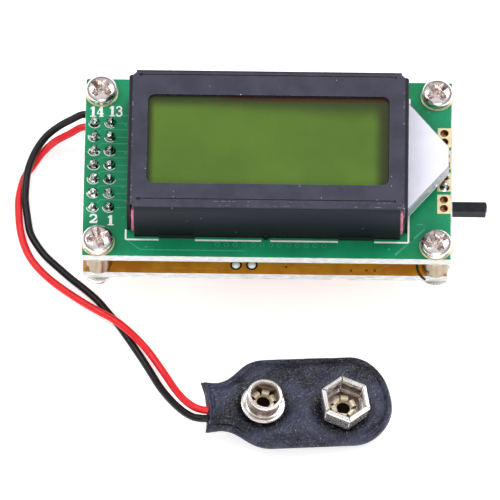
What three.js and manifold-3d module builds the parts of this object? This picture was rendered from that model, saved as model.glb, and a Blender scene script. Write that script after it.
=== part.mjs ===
// Pocket component tester: an 8 x 2 character display module carried on four short spacers over a
// smaller measuring board, with two loose leads that end in a 9 V battery snap.
// Millimetres, +Z up, +X right and +Y back. The origin is on the bench, under the middle of the
// board stack, which stands on the parts that hang under the measuring board.

import * as THREE from 'three';
import { mergeVertices } from 'three/addons/utils/BufferGeometryUtils.js';
import Module from 'manifold-3d';

const wasm = await Module();
wasm.setup();

// ---- driving dimensions ----

const BOARD = 1.6; // thickness of both circuit boards
const UNDER_HEIGHT = 8.6; // bench to the underside of the measuring board
const SPACER_LENGTH = 5;
const SPACER_R = 2.2;
const GAP = 0.05; // seating gap between pieces that touch

const DISPLAY = { x: -2.8, length: 58, width: 32 };
const MEASURING = { x: -3.05, length: 57.5, width: 30.7 };
const HOLES = { x: 53, y: 27, r: 1.35 }; // mounting hole pattern and radius

const MEASURING_TOP = UNDER_HEIGHT + BOARD;
const DISPLAY_UNDER = MEASURING_TOP + SPACER_LENGTH;
const DISPLAY_TOP = DISPLAY_UNDER + BOARD;
const HANG = UNDER_HEIGHT - GAP; // where a part that hangs under the measuring board begins

const BEZEL = {
  y: 0.2, length: 44, width: 25.4, height: 8.8, sheet: 0.5, shoulder: 0.6, corner: 1.15,
};
const WINDOW = { length: 38, width: 16, r: 1.2, y: 0.3 };
const GUIDE = {
  y: 0.3, halfRoot: 9.6, halfTip: 1.76, reach: 28.4, z: DISPLAY_TOP + 1.6, thickness: 2.5,
};

const PITCH = 2.54;
const HEADER = { x: -29, y: 0.4, rows: 7, columns: 2, pin: 0.64 };
const SCREW = { headR: 2.5, headHeight: 1.8, shankR: 1.15, shankLength: 3.7 };

const LEVER = { x: 31.8, y: -1.2, z: 6.6, width: 1.8, height: 2 };
const SWITCH = { y: -0.2, length: 8.6, left: 21.2, right: 25, bottom: 4.5, travel: 2 };
const TRIMMER = { x: -16, y: -7, side: 6.6, height: 4.6, rotorR: 2.4 };

const LEAD_R = 0.6;
const SNAP = { x: 2.5, y: -34, z: 1.8, tilt: 7, yaw: 6.2, thickness: 2.4, terminals: 12.7 };

// ---- materials ----

const finish = (color, roughness, metalness = 0) =>
  new THREE.MeshStandardMaterial({ color, roughness, metalness });

const GREEN_MASK = finish(0x14875a, 0.35);
const AMBER_BOARD = finish(0xa8660f, 0.4);
const BLACK_PAINT = finish(0x2c2b33, 0.55, 0.3);
const DISPLAY_FACE = finish(0x62802f, 0.25);
const GLASS = finish(0xc8d4cc, 0.05);
const WHITE_ACRYLIC = finish(0xe9e8f6, 0.3);
const PINK_RUBBER = finish(0xf08aa8, 0.7);
const NICKEL = finish(0xd8d4cc, 0.22, 1);
const TIN = finish(0xb9b9b7, 0.4, 1);
const BLACK_PLASTIC = finish(0x1c1c20, 0.5);
const BLUE_PLASTIC = finish(0x1f57a8, 0.45);
const WHITE_PLASTIC = finish(0xe8e6df, 0.45);
const EPOXY = finish(0x111113, 0.3);
const VINYL = finish(0x22222a, 0.5);
const RED_SLEEVE = finish(0xd92b33, 0.4);
const BLACK_SLEEVE = finish(0x1d1d22, 0.4);
const RESISTOR_BODY = finish(0x5f9cc0, 0.5);
const CERAMIC = finish(0xb8702c, 0.6);
const CAN_SLEEVE = finish(0x1d2440, 0.4);

// ---- solids ----

const toSolid = (geometry) => {
  const bare = geometry.index ? geometry.clone() : geometry;
  bare.deleteAttribute('normal');
  bare.deleteAttribute('uv');
  const merged = mergeVertices(bare, 1e-5);
  return new wasm.Manifold(new wasm.Mesh({
    numProp: 3,
    vertProperties: new Float32Array(merged.attributes.position.array),
    triVerts: new Uint32Array(merged.index.array),
  }));
};

const toGeometry = (solid) => {
  const mesh = solid.getMesh();
  const geometry = new THREE.BufferGeometry();
  geometry.setAttribute('position', new THREE.BufferAttribute(mesh.vertProperties, 3));
  geometry.setIndex(new THREE.BufferAttribute(mesh.triVerts, 1));
  geometry.computeVertexNormals();
  return geometry;
};

const fold = (operation, first, rest) =>
  toGeometry(rest.reduce((solid, tool) => solid[operation](toSolid(tool)), toSolid(first)));

const cut = (body, ...tools) => fold('subtract', body, tools);
const join = (body, ...others) => fold('add', body, others);

const box = (x0, x1, y0, y1, z0, z1) =>
  new THREE.BoxGeometry(x1 - x0, y1 - y0, z1 - z0)
    .translate((x0 + x1) / 2, (y0 + y1) / 2, (z0 + z1) / 2);

const block = (x, y, length, width, z0, z1) =>
  box(x - length / 2, x + length / 2, y - width / 2, y + width / 2, z0, z1);

const rod = (r, x, y, z0, z1, sides = 16) =>
  new THREE.CylinderGeometry(r, r, z1 - z0, sides)
    .rotateX(Math.PI / 2)
    .translate(x, y, (z0 + z1) / 2);

// A turned piece from its half section, given as [radius, height] pairs.
const turned = (profile, sides = 16) =>
  new THREE.LatheGeometry(profile.map(([r, z]) => new THREE.Vector2(r, z)), sides)
    .rotateX(Math.PI / 2);

const roundedRectangle = (length, width, r) => {
  const shape = new THREE.Shape();
  const x = length / 2 - r;
  const y = width / 2 - r;
  shape.absarc(x, -y, r, -Math.PI / 2, 0);
  shape.absarc(x, y, r, 0, Math.PI / 2);
  shape.absarc(-x, y, r, Math.PI / 2, Math.PI);
  shape.absarc(-x, -y, r, Math.PI, Math.PI * 1.5);
  return shape;
};

const slab = (shape, z0, z1, curveSegments = 4) =>
  new THREE.ExtrudeGeometry(shape, { depth: z1 - z0, bevelEnabled: false, curveSegments })
    .translate(0, 0, z0);

// ---- assembly ----

const tester = new THREE.Group();

const add = (name, geometry, material, parent = tester) => {
  const mesh = new THREE.Mesh(geometry, material);
  mesh.name = name;
  parent.add(mesh);
  return mesh;
};

const CORNERS = [
  ['front_left', -1, -1],
  ['front_right', 1, -1],
  ['rear_left', -1, 1],
  ['rear_right', 1, 1],
].map(([name, sx, sy]) => ({ name, sx, sy, x: DISPLAY.x + (sx * HOLES.x) / 2, y: (sy * HOLES.y) / 2 }));

const headerPins = [];
for (let column = 0; column < HEADER.columns; column += 1) {
  for (let row = 0; row < HEADER.rows; row += 1) {
    headerPins.push({
      x: HEADER.x + (column - (HEADER.columns - 1) / 2) * PITCH,
      y: HEADER.y + (row - (HEADER.rows - 1) / 2) * PITCH,
    });
  }
}

// The bezel's four tongues pass down through slots in the display board.
const TONGUE = { width: 2, below: 0.7, spread: 14, y: BEZEL.width / 2 - BEZEL.sheet / 2 };
const TONGUES = [[-1, -1], [1, -1], [-1, 1], [1, 1]]
  .map(([sx, sy]) => ({ x: sx * TONGUE.spread, y: sy * TONGUE.y }));

const boardHoles = (z0, z1) => [
  ...CORNERS.map(({ x, y }) => rod(HOLES.r, x, y, z0, z1)),
  ...headerPins.map(({ x, y }) => rod(0.55, x, y, z0, z1, 8)),
];

const displayBoard = () => {
  const [z0, z1] = [DISPLAY_UNDER - 1, DISPLAY_TOP + 1];
  const slots = TONGUES.map(({ x, y }) =>
    block(DISPLAY.x + x, BEZEL.y + y, TONGUE.width + 0.4, 0.9, z0, z1));
  const body = block(DISPLAY.x, 0, DISPLAY.length, DISPLAY.width, DISPLAY_UNDER, DISPLAY_TOP);
  return cut(body, ...boardHoles(z0, z1), ...slots);
};

const measuringBoard = () => {
  const body = block(MEASURING.x, 0, MEASURING.length, MEASURING.width, UNDER_HEIGHT, MEASURING_TOP);
  return cut(body, ...boardHoles(UNDER_HEIGHT - 1, MEASURING_TOP + 1));
};

add('display_board', displayBoard(), GREEN_MASK);
add('measuring_board', measuringBoard(), AMBER_BOARD);

// The bezel is a folded sheet box, open below, with rounded shoulders, open corners and a window.
const bezel = () => {
  const { length, width, height, sheet, shoulder, corner } = BEZEL;
  const bottom = DISPLAY_TOP + GAP;
  const top = DISPLAY_TOP + height;
  const inset = 2 * shoulder;
  const outer = new THREE.ExtrudeGeometry(roundedRectangle(length - inset, width - inset, 0.3), {
    depth: top - shoulder - bottom + 1,
    bevelThickness: shoulder,
    bevelSize: shoulder,
    bevelSegments: 3,
    curveSegments: 2,
  }).translate(0, 0, bottom - 1);
  const hollow = block(0, 0, length - 2 * sheet, width - 2 * sheet, bottom - 3, top - sheet);
  const below = block(0, 0, length + 4, width + 4, bottom - 5, bottom);
  const notches = CORNERS.map(({ sx, sy }) =>
    block((sx * length) / 2, (sy * width) / 2, 2 * corner, 2 * corner, bottom - 1, top - shoulder));
  const window = slab(roundedRectangle(WINDOW.length, WINDOW.width, WINDOW.r), top - 2, top + 1)
    .translate(0, WINDOW.y - BEZEL.y, 0);
  const guideGate = box(
    length / 2 - 2, length / 2 + 2, -GUIDE.halfRoot - 0.2, GUIDE.halfRoot + 0.4,
    bottom - 1, GUIDE.z + GUIDE.thickness + 0.1,
  );
  const tongues = TONGUES.map(({ x, y }) =>
    block(x, y, TONGUE.width, sheet, DISPLAY_UNDER - TONGUE.below, bottom + 1));
  const shell = cut(outer, hollow, below, ...notches, window, guideGate);
  return join(shell, ...tongues).translate(DISPLAY.x, BEZEL.y, 0);
};

add('bezel', bezel(), BLACK_PAINT);

// The display cell, from the window down: polariser, two glasses, light guide and edge contacts.
const CELL_TOP = DISPLAY_TOP + BEZEL.height - BEZEL.sheet - GAP;
const FRONT_GLASS = { top: CELL_TOP - 0.3, bottom: CELL_TOP - 1.4, length: 42.6, width: 24 };
const REAR_GLASS = { top: CELL_TOP - 1.45, bottom: CELL_TOP - 2.55, length: 42.6, width: 20 };
const CONTACT = { y: 11.1, width: 1.6, length: 42.6 };

add(
  'front_polariser',
  block(DISPLAY.x, BEZEL.y, 41, 19.4, CELL_TOP - 0.25, CELL_TOP),
  DISPLAY_FACE,
);
add('front_glass', block(
  DISPLAY.x, BEZEL.y, FRONT_GLASS.length, FRONT_GLASS.width, FRONT_GLASS.bottom, FRONT_GLASS.top,
), GLASS);
add('rear_glass', block(
  DISPLAY.x, BEZEL.y, REAR_GLASS.length, REAR_GLASS.width, REAR_GLASS.bottom, REAR_GLASS.top,
), GLASS);

for (const [name, side] of [['contact_strip_front', -1], ['contact_strip_rear', 1]]) {
  add(name, block(
    DISPLAY.x, BEZEL.y + side * CONTACT.y, CONTACT.length, CONTACT.width,
    DISPLAY_TOP + GAP, FRONT_GLASS.bottom - GAP,
  ), PINK_RUBBER);
}

const lightGuide = () => {
  const outline = new THREE.Shape();
  const root = BEZEL.length / 2 + 0.1;
  outline.moveTo(-20.6, -9.6);
  outline.lineTo(root, -GUIDE.halfRoot);
  outline.lineTo(GUIDE.reach, -GUIDE.halfTip);
  outline.lineTo(GUIDE.reach, GUIDE.halfTip);
  outline.lineTo(root, GUIDE.halfRoot);
  outline.lineTo(-20.6, 9.6);
  return slab(outline, GUIDE.z, GUIDE.z + GUIDE.thickness).translate(DISPLAY.x, GUIDE.y, 0);
};

add('light_guide', lightGuide(), WHITE_ACRYLIC);
add('backlight_led', block(
  DISPLAY.x + GUIDE.reach - 1.5, GUIDE.y, 2.4, 3.2, DISPLAY_TOP + GAP, GUIDE.z - GAP,
), WHITE_PLASTIC);

const driverBlob = () => turned([
  [0, 0], [5.6, 0], [5.2, -0.55], [3.8, -1.05], [1.8, -1.3], [0, -1.35],
].reverse(), 18).translate(DISPLAY.x + 3, 1, DISPLAY_UNDER - GAP);

add('driver_blob', driverBlob(), EPOXY);

// Pins of the header run from under the measuring board to above the display board.
const header = () => {
  const strip = block(
    HEADER.x, HEADER.y, HEADER.columns * PITCH, HEADER.rows * PITCH,
    DISPLAY_UNDER - GAP - 2.5, DISPLAY_UNDER - GAP,
  );
  const pins = headerPins.map(({ x, y }) =>
    block(x, y, HEADER.pin, HEADER.pin, UNDER_HEIGHT - 1.2, DISPLAY_TOP + 1.1));
  return join(strip, ...pins);
};

add('pin_header', header(), BLACK_PLASTIC);

// ---- fasteners ----

const screw = () => {
  const { headR, headHeight, shankR, shankLength } = SCREW;
  const body = turned([
    [0, -shankLength], [shankR, -shankLength], [shankR, 0], [headR, 0], [headR, headHeight * 0.45],
    [headR * 0.84, headHeight * 0.8], [headR * 0.5, headHeight], [0, headHeight],
  ]);
  const recess = [0, Math.PI / 2].map((turn) =>
    block(0, 0, 2.8, 0.6, headHeight - 1, headHeight + 1).rotateZ(turn));
  return cut(body, ...recess);
};

for (const { name, x, y } of CORNERS) {
  add(`top_screw_${name}`, screw(), NICKEL).position.set(x, y, DISPLAY_TOP + GAP);
  const lower = add(`bottom_screw_${name}`, screw(), NICKEL);
  lower.position.set(x, y, UNDER_HEIGHT - GAP);
  lower.rotation.x = Math.PI;
  const spacer = turned([
    [HOLES.r, GAP], [SPACER_R, GAP], [SPACER_R, SPACER_LENGTH - GAP],
    [HOLES.r, SPACER_LENGTH - GAP], [HOLES.r, GAP],
  ]);
  add(`spacer_${name}`, spacer, NICKEL).position.set(x, y, MEASURING_TOP);
}

// ---- parts that hang under the measuring board ----

const CHIP = { x: -4.5, y: 4.6, length: 34.7, width: 6.5, thick: 3.4, pins: 14, rows: 7.62 };
const CHIP_SOCKET = { length: 35.6, width: 10.1, rail: 2.5, bottom: 4.4 };

const chipPinXs = Array.from(
  { length: CHIP.pins },
  (_, i) => CHIP.x + (i - (CHIP.pins - 1) / 2) * PITCH,
);

const chipSocket = () => {
  const { length, width, rail, bottom } = CHIP_SOCKET;
  const opening = block(CHIP.x, CHIP.y, length - 3, width - 2 * rail, bottom - 1, HANG + 1);
  const body = cut(block(CHIP.x, CHIP.y, length, width, bottom, HANG), opening);
  const bars = [-5.9, 5.9].map((x) =>
    block(CHIP.x + x, CHIP.y, 1.6, width - 2 * rail + 1, bottom + 0.6, HANG - 1));
  return join(body, ...bars);
};

const chip = () => {
  const { x, y, length, width, thick, rows } = CHIP;
  const body = cut(block(x, y, length, width, 0, thick), rod(0.9, x - length / 2, y, -1, 0.4, 12));
  const middle = thick / 2;
  const legs = chipPinXs.flatMap((px) => [-1, 1].flatMap((side) => {
    const out = y + side * (rows / 2);
    const inner = y + side * (width / 2 - 0.2);
    return [
      box(px - 0.7, px + 0.7, Math.min(inner, out + side * 0.13), Math.max(inner, out + side * 0.13),
        middle, middle + 0.25),
      block(px, out, 1.4, 0.25, middle, CHIP_SOCKET.bottom - GAP),
    ];
  }));
  return join(body, ...legs);
};

add('microcontroller_socket', chipSocket(), BLACK_PLASTIC);
add('microcontroller', chip(), BLACK_PLASTIC);

// A low can on its base flange, with two short legs up to the board.
const crystal = () => {
  const x = -8;
  const y = 12.7;
  const can = slab(roundedRectangle(10.2, 3.7, 1.8), HANG - 3.5, HANG - 0.5, 5);
  const flange = slab(roundedRectangle(11, 4.5, 2.2), HANG - 0.7, HANG - 0.3, 5);
  const legs = [-2.44, 2.44].map((dx) => rod(0.22, dx, 0, HANG - 0.5, HANG, 8));
  return join(can, flange, ...legs).translate(x, y, 0);
};

const regulator = () => {
  const body = new THREE.Shape();
  body.absarc(0, 0, 2.4, -Math.PI * 0.22, Math.PI * 1.22);
  const legs = [-1.27, 0, 1.27].map((dx) => block(dx, 0, 0.45, 0.4, HANG - 2.2, HANG));
  return join(slab(body, HANG - 6.6, HANG - 2, 10), ...legs).translate(3, 12, 0);
};

const standingCan = (x, y) => join(
  rod(2.5, x, y, HANG - 7.3, HANG - 0.3, 20),
  ...[-1, 1].map((dx) => rod(0.25, x + dx, y, HANG - 0.5, HANG, 8)),
);

// Laid on its side under the board, its legs bent up at the front edge.
const lyingCan = (x) => {
  const z = HANG - 2.6;
  const can = new THREE.CylinderGeometry(2.5, 2.5, 7, 20).translate(x, -8.4, z);
  const legs = [-1.25, 1.25].flatMap((dx) => [
    block(x + dx, -12.65, 0.5, 2.2, z - 0.25, z + 0.25),
    block(x + dx, -13.55, 0.5, 0.4, z - 0.25, HANG),
  ]);
  return join(can, ...legs);
};

const disc = (x, y) => join(
  new THREE.CylinderGeometry(2, 2, 1.6, 16).translate(x, y, HANG - 2.9),
  ...[-1.27, 1.27].map((dx) => block(x + dx, y, 0.45, 0.45, HANG - 2.2, HANG)),
);

const resistor = (x, y) => {
  const z = HANG - 1.3;
  const profile = [
    [0, -3.2], [1.1, -3.1], [1.1, -2.2], [0.85, -1.9], [0.85, 1.9], [1.1, 2.2], [1.1, 3.1], [0, 3.2],
  ];
  const body = turned(profile, 12).rotateY(Math.PI / 2).translate(x, y, z);
  const wires = [-1, 1].flatMap((side) => [
    block(x + side * 4, y, 2.6, 0.5, z - 0.25, z + 0.25),
    block(x + side * 5.08, y, 0.5, 0.5, z - 0.25, HANG),
  ]);
  return join(body, ...wires);
};

add('crystal', crystal(), TIN);
add('voltage_regulator', regulator(), BLACK_PLASTIC);
add('input_capacitor', standingCan(11.2, 12.6), CAN_SLEEVE);
add('output_capacitor', lyingCan(-6.43), CAN_SLEEVE);
add('ceramic_capacitor_left', disc(-17.4, 12.7), CERAMIC);
add('ceramic_capacitor_right', disc(17.2, 8.2), CERAMIC);
[-3.9, -7.3, -10.7].forEach((y, i) => add(`resistor_${i + 1}`, resistor(14.4, y), RESISTOR_BODY));

const testSocket = () => {
  const [x, y] = [3.4, -8.9];
  const holes = [-1, 0, 1].map((i) => block(x + i * PITCH, y, 0.8, 0.8, -1, 6));
  return cut(block(x, y, 3 * PITCH, 2.5, 0, HANG), ...holes);
};

add('test_socket', testSocket(), BLACK_PLASTIC);

// Contrast trimmer: a square body with a round well, and a slotted rotor that turns in the well.
const trimmerBody = () => {
  const { x, y, side, height, rotorR } = TRIMMER;
  const well = rod(rotorR + 0.15, x, y, HANG - height - 1, HANG - height + 1.9, 20);
  return cut(block(x, y, side, side, HANG - height, HANG), well);
};

const trimmerRotor = () => {
  const { x, y, height, rotorR } = TRIMMER;
  const bottom = HANG - height + 0.2;
  const slots = [0, Math.PI / 2].map((turn) =>
    block(0, 0, 3.4, 0.7, bottom - 1, bottom + 0.8).rotateZ(turn).translate(x, y, 0));
  return cut(rod(rotorR, x, y, bottom, bottom + 1.6, 20), ...slots);
};

add('trimmer_body', trimmerBody(), BLUE_PLASTIC);
add('trimmer_rotor', trimmerRotor(), WHITE_PLASTIC);

// Power switch, lying on its side: a folded steel shell, the contact base behind it, and a slider
// whose long lever comes out past the edge of the boards.
const SHELL_SHEET = 0.3;

const switchShell = () => {
  const { y, length, left, right, bottom, travel } = SWITCH;
  const half = length / 2;
  const s = SHELL_SHEET;
  const slot = (LEVER.width + travel) / 2 + 0.2;
  return cut(
    box(left, right, y - half, y + half, bottom, HANG),
    box(left - 1, right - s, y - half + s, y + half - s, bottom + s, HANG - s),
    block(right, y, 2, 2 * slot, LEVER.z - LEVER.height / 2 - 0.2, LEVER.z + LEVER.height / 2 + 0.2),
  );
};

const switchBase = () => {
  const { y, length, left, bottom } = SWITCH;
  const half = length / 2 - SHELL_SHEET - GAP;
  const pins = [-2.5, 0, 2.5].flatMap((dy) => [
    block(left - 0.9, y + dy, 1.8, 0.6, 6.3, 6.7),
    block(left - 1.6, y + dy, 0.4, 0.6, 6.3, HANG),
  ]);
  const [z0, z1] = [bottom + SHELL_SHEET + GAP, HANG - SHELL_SHEET - GAP];
  return join(box(left - 0.2, left + 0.8, y - half, y + half, z0, z1), ...pins);
};

const switchLever = () => {
  const { right } = SWITCH;
  const face = right - SHELL_SHEET - 0.1;
  const slider = block((face + SWITCH.left + 1) / 2, LEVER.y, face - SWITCH.left - 1, 3.8, 5, 8.1);
  const { width, height } = LEVER;
  const bar = box(
    face - 0.5, LEVER.x, LEVER.y - width / 2, LEVER.y + width / 2,
    LEVER.z - height / 2, LEVER.z + height / 2,
  );
  return join(slider, bar);
};

add('switch_shell', switchShell(), TIN);
add('switch_base', switchBase(), BLACK_PLASTIC);
add('switch_lever', switchLever(), BLACK_PLASTIC);

// ---- battery leads ----

// Each lead leaves its hole under the rear left corner, passes below the screw head there, settles
// on the bench in a long bow round the front left, and climbs into the sleeve of the snap.
const RED_ROUTE = [
  [-23.6, 10.2, 8.3], [-24.3, 10.6, 6.6], [-26.6, 11.7, 5.7], [-29.4, 13, 5.5],
  [-32.3, 13.9, 5], [-34.6, 13.4, 3.6], [-37, 12.7, 2.2], [-39, 11.1, 1.2], [-40.4, 9.1, 0.7],
  [-41.6, 7.2, 0.65], [-42.2, 5, 0.65], [-42.5, 2.7, 0.65], [-42.4, 0.1, 0.65], [-42.1, -2.6, 0.65],
  [-41.4, -5.3, 0.65], [-40.2, -7.9, 0.65], [-38.4, -10.2, 0.65], [-36.4, -12.1, 0.65],
  [-34, -14, 0.7], [-31.6, -15.8, 0.9], [-29.3, -17.5, 1.4], [-26.9, -19.2, 1.9],
  [-24.9, -20.9, 2], [-22.9, -22.8, 1.7], [-21.2, -24.7, 1.3], [-19.8, -26.8, 1.3],
  [-18.4, -29.2, 1.7], [-17, -31.9, 2.6], [-15.6, -34.2, 3.6], [-14.2, -35.8, 4.4], [-12.95, -36.6, 4.8],
];
const BLACK_ROUTE = [
  [-23.6, 13, 8.3], [-24.3, 13.2, 6.6], [-26.7, 14.1, 5.7], [-29.6, 15.2, 5.5],
  [-32.3, 16.2, 5], [-34.3, 15.7, 4.2], [-36.3, 14.9, 3.4], [-38.2, 13.5, 2.8], [-39.6, 11.6, 2.4],
  [-40.6, 9.4, 2.1], [-41.2, 7, 1.9], [-41.4, 4.4, 1.6], [-41.4, 2.4, 1.2], [-41, -0.4, 0.75],
  [-40.5, -3, 0.65], [-39.4, -5.2, 0.65], [-37.9, -7.3, 0.65], [-35.8, -9.4, 0.65],
  [-33.8, -11.3, 0.65], [-31.7, -13.1, 0.65], [-29.7, -15, 0.65], [-28, -17.1, 0.65],
  [-26.3, -19.3, 0.65], [-24.9, -21.4, 0.65], [-23.5, -23.6, 0.65], [-22.1, -25.9, 0.7],
  [-20.8, -28.3, 1], [-19.4, -31, 1.6], [-17.8, -33.6, 2.5], [-16, -36, 3.5], [-14.3, -37.6, 4.3],
  [-12.95, -38.2, 4.8],
];

const lead = (route) => {
  const section = new THREE.Shape();
  section.absarc(0, 0, LEAD_R, 0, Math.PI * 2);
  const path = new THREE.CatmullRomCurve3(route.map((point) => new THREE.Vector3(...point)));
  return new THREE.ExtrudeGeometry(section, { extrudePath: path, steps: 46, curveSegments: 4 });
};

add('lead_red', lead(RED_ROUTE), RED_SLEEVE);
add('lead_black', lead(BLACK_ROUTE), BLACK_SLEEVE);

// ---- battery snap, drawn flat and then leant on its far end ----

const snap = new THREE.Group();
snap.position.set(SNAP.x, SNAP.y, SNAP.z);
snap.rotation.order = 'ZYX';
snap.rotation.y = THREE.MathUtils.degToRad(SNAP.tilt);
snap.rotation.z = THREE.MathUtils.degToRad(SNAP.yaw);
tester.add(snap);

// The two terminals stand on a line that is a few degrees off the cover's own length.
const TERMINAL_LINE = THREE.MathUtils.degToRad(-5);
const SOCKET_TURN = THREE.MathUtils.degToRad(4);
const STUD = { x: -6.15, y: -1.1 };
const SOCKET = {
  x: STUD.x + SNAP.terminals * Math.cos(TERMINAL_LINE),
  y: STUD.y + SNAP.terminals * Math.sin(TERMINAL_LINE),
};
const EYELET_R = 1.2;

const snapCover = () => {
  const outline = new THREE.Shape();
  outline.moveTo(-15.2, -4.9);
  outline.lineTo(-12.9, -4.9);
  outline.bezierCurveTo(-9.8, -5, -9.2, -8.1, -5.2, -8.2);
  outline.lineTo(8.4, -8);
  outline.bezierCurveTo(11.6, -7.7, 14.6, -4.2, 14.6, -1);
  outline.bezierCurveTo(14.6, 3, 13, 7.4, 8.6, 7.7);
  outline.lineTo(-5.4, 7.6);
  outline.bezierCurveTo(-9, 7.5, -10, 3.7, -13, 3.7);
  outline.lineTo(-15.2, 3.7);
  const holes = [STUD, SOCKET].map(({ x, y }) => rod(EYELET_R + GAP, x, y, -1, SNAP.thickness + 1));
  return cut(slab(outline, 0, SNAP.thickness, 6), ...holes);
};

// Half sections of the two terminals and of the eyelet that rivets each to the cover.
const FLOOR = SNAP.thickness + GAP;
const studSection = [
  [1.3, 0], [3.3, 0], [3.3, 0.3], [2.55, 0.5], [2.4, 1.7], [2.7, 2.5], [2.7, 3], [2.3, 3.1],
  [2.1, 2.5], [2.1, 0.6], [1.3, 0.6], [1.3, 0],
].map(([r, z]) => [r, z + FLOOR]);
const socketSection = [
  [1.45, 0], [3.9, 0], [4.3, 0.6], [4.5, 2.2], [4.4, 2.7], [3.9, 2.8], [3.75, 0.9], [3.5, 0.6],
  [1.45, 0.6], [1.45, 0],
].map(([r, z]) => [r, z + FLOOR]);
const eyeletSection = [
  [0.75, 0.3], [EYELET_R, 0.3], [EYELET_R, FLOOR + 0.65], [1.9, FLOOR + 0.65], [1.9, FLOOR + 0.95],
  [0.75, FLOOR + 0.95], [0.75, 0.3],
];

add('snap_cover', snapCover(), VINYL, snap);
add('snap_stud', turned(studSection, 20), NICKEL, snap).position.set(STUD.x, STUD.y, 0);
add('snap_socket', turned(socketSection, 6).rotateZ(SOCKET_TURN), NICKEL, snap)
  .position.set(SOCKET.x, SOCKET.y, 0);
for (const [name, { x, y }] of [['stud_eyelet', STUD], ['socket_eyelet', SOCKET]]) {
  add(name, turned(eyeletSection, 12), NICKEL, snap).position.set(x, y, 0);
}

export default tester;
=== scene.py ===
"""Looks of the pocket component tester: two stacked boards, a character display and a battery snap.

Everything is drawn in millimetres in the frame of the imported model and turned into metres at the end.
"""

import math
import random

import bmesh
import bpy
from mathutils import Matrix, Vector, noise
from mathutils.geometry import tessellate_polygon


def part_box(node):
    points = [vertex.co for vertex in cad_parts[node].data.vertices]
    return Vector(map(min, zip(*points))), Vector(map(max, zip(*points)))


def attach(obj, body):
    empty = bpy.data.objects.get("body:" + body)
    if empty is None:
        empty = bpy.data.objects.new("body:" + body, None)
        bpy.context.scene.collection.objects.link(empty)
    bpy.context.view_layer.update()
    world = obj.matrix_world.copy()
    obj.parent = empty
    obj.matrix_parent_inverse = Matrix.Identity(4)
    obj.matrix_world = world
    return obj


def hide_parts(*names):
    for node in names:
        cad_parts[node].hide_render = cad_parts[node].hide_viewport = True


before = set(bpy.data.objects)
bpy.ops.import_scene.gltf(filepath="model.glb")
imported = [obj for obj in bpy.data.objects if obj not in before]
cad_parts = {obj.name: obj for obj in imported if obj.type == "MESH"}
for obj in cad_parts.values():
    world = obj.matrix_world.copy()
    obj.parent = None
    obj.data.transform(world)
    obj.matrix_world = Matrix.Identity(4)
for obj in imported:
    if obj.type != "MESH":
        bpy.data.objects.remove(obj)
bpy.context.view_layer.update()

MM = 0.001
TAU = 2 * math.pi
RNG = random.Random(9)


def span(node):
    """Lowest and highest corner of a CAD node, in mm."""
    return [[c / MM for c in corner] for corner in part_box(node)]


def middle(node):
    low, high = span(node)
    return [(a + b) / 2 for a, b in zip(low, high)]


def add_object(name, data):
    made = bpy.data.objects.new(name, data)
    bpy.context.scene.collection.objects.link(made)
    return made


def rotation(angle, axis):
    return Matrix.Rotation(angle, 4, axis)


# ---- camera and light ----

LENS_MM = 742.69
SENSOR_MM = 36
DISTANCE = 1.61546
AZIMUTH, ELEVATION, ROLL = (math.radians(a) for a in (1.092, 60.963, -0.251))
AIM = Vector((-5.444, -14.636, 16.8)) * MM
LAMP_AIM = Vector((-0.005, -0.01, 0.01))
SKY = ((0.0, 0.16), (0.28, 0.3), (0.5, 0.75), (0.8, 1.0))  # height of a direction and its brightness


def make_camera():
    camera = add_object("camera", bpy.data.cameras.new("camera"))
    camera.matrix_world = (Matrix.Translation(AIM) @ rotation(AZIMUTH, "Z")
                           @ rotation(math.pi / 2 - ELEVATION, "X") @ rotation(ROLL, "Z")
                           @ Matrix.Translation((0, 0, DISTANCE)))
    camera.data.sensor_width, camera.data.lens = SENSOR_MM, LENS_MM
    camera.data.clip_start, camera.data.clip_end = 0.05, 50
    bpy.context.scene.camera = camera


def softbox(name, place, size, watts):
    light = bpy.data.lights.new(name, "AREA")
    light.shape = "RECTANGLE"
    light.size, light.size_y = size
    light.energy = watts
    lamp = add_object(name, light)
    lamp.location = place
    lamp.rotation_euler = (LAMP_AIM - lamp.location).to_track_quat("-Z", "Y").to_euler()


def make_sky():
    """Bright overhead and dim towards the horizon, so that bright metal shows some contrast."""
    world = bpy.data.worlds.new("studio")
    world.use_nodes = True
    bpy.context.scene.world = world
    nodes, links = world.node_tree.nodes, world.node_tree.links
    place = nodes.new("ShaderNodeTexCoord")
    split = nodes.new("ShaderNodeSeparateXYZ")
    ramp = nodes.new("ShaderNodeValToRGB")
    links.new(place.outputs["Generated"], split.inputs[0])
    links.new(split.outputs["Z"], ramp.inputs[0])
    links.new(ramp.outputs[0], nodes["Background"].inputs["Color"])
    elements = ramp.color_ramp.elements
    for _ in SKY[2:]:
        elements.new(0.5)
    for element, (height, level) in zip(elements, SKY):
        element.position = height
        element.color = (level, level, level * 1.02, 1)
    nodes["Background"].inputs["Strength"].default_value = 0.75


# ---- procedural finishes ----

def rgb(code):
    """Linear colour of a six-figure sRGB code."""
    channels = [int(code[i:i + 2], 16) / 255 for i in (0, 2, 4)]
    return [c / 12.92 if c <= 0.04045 else ((c + 0.055) / 1.055) ** 2.4 for c in channels] + [1]


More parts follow.
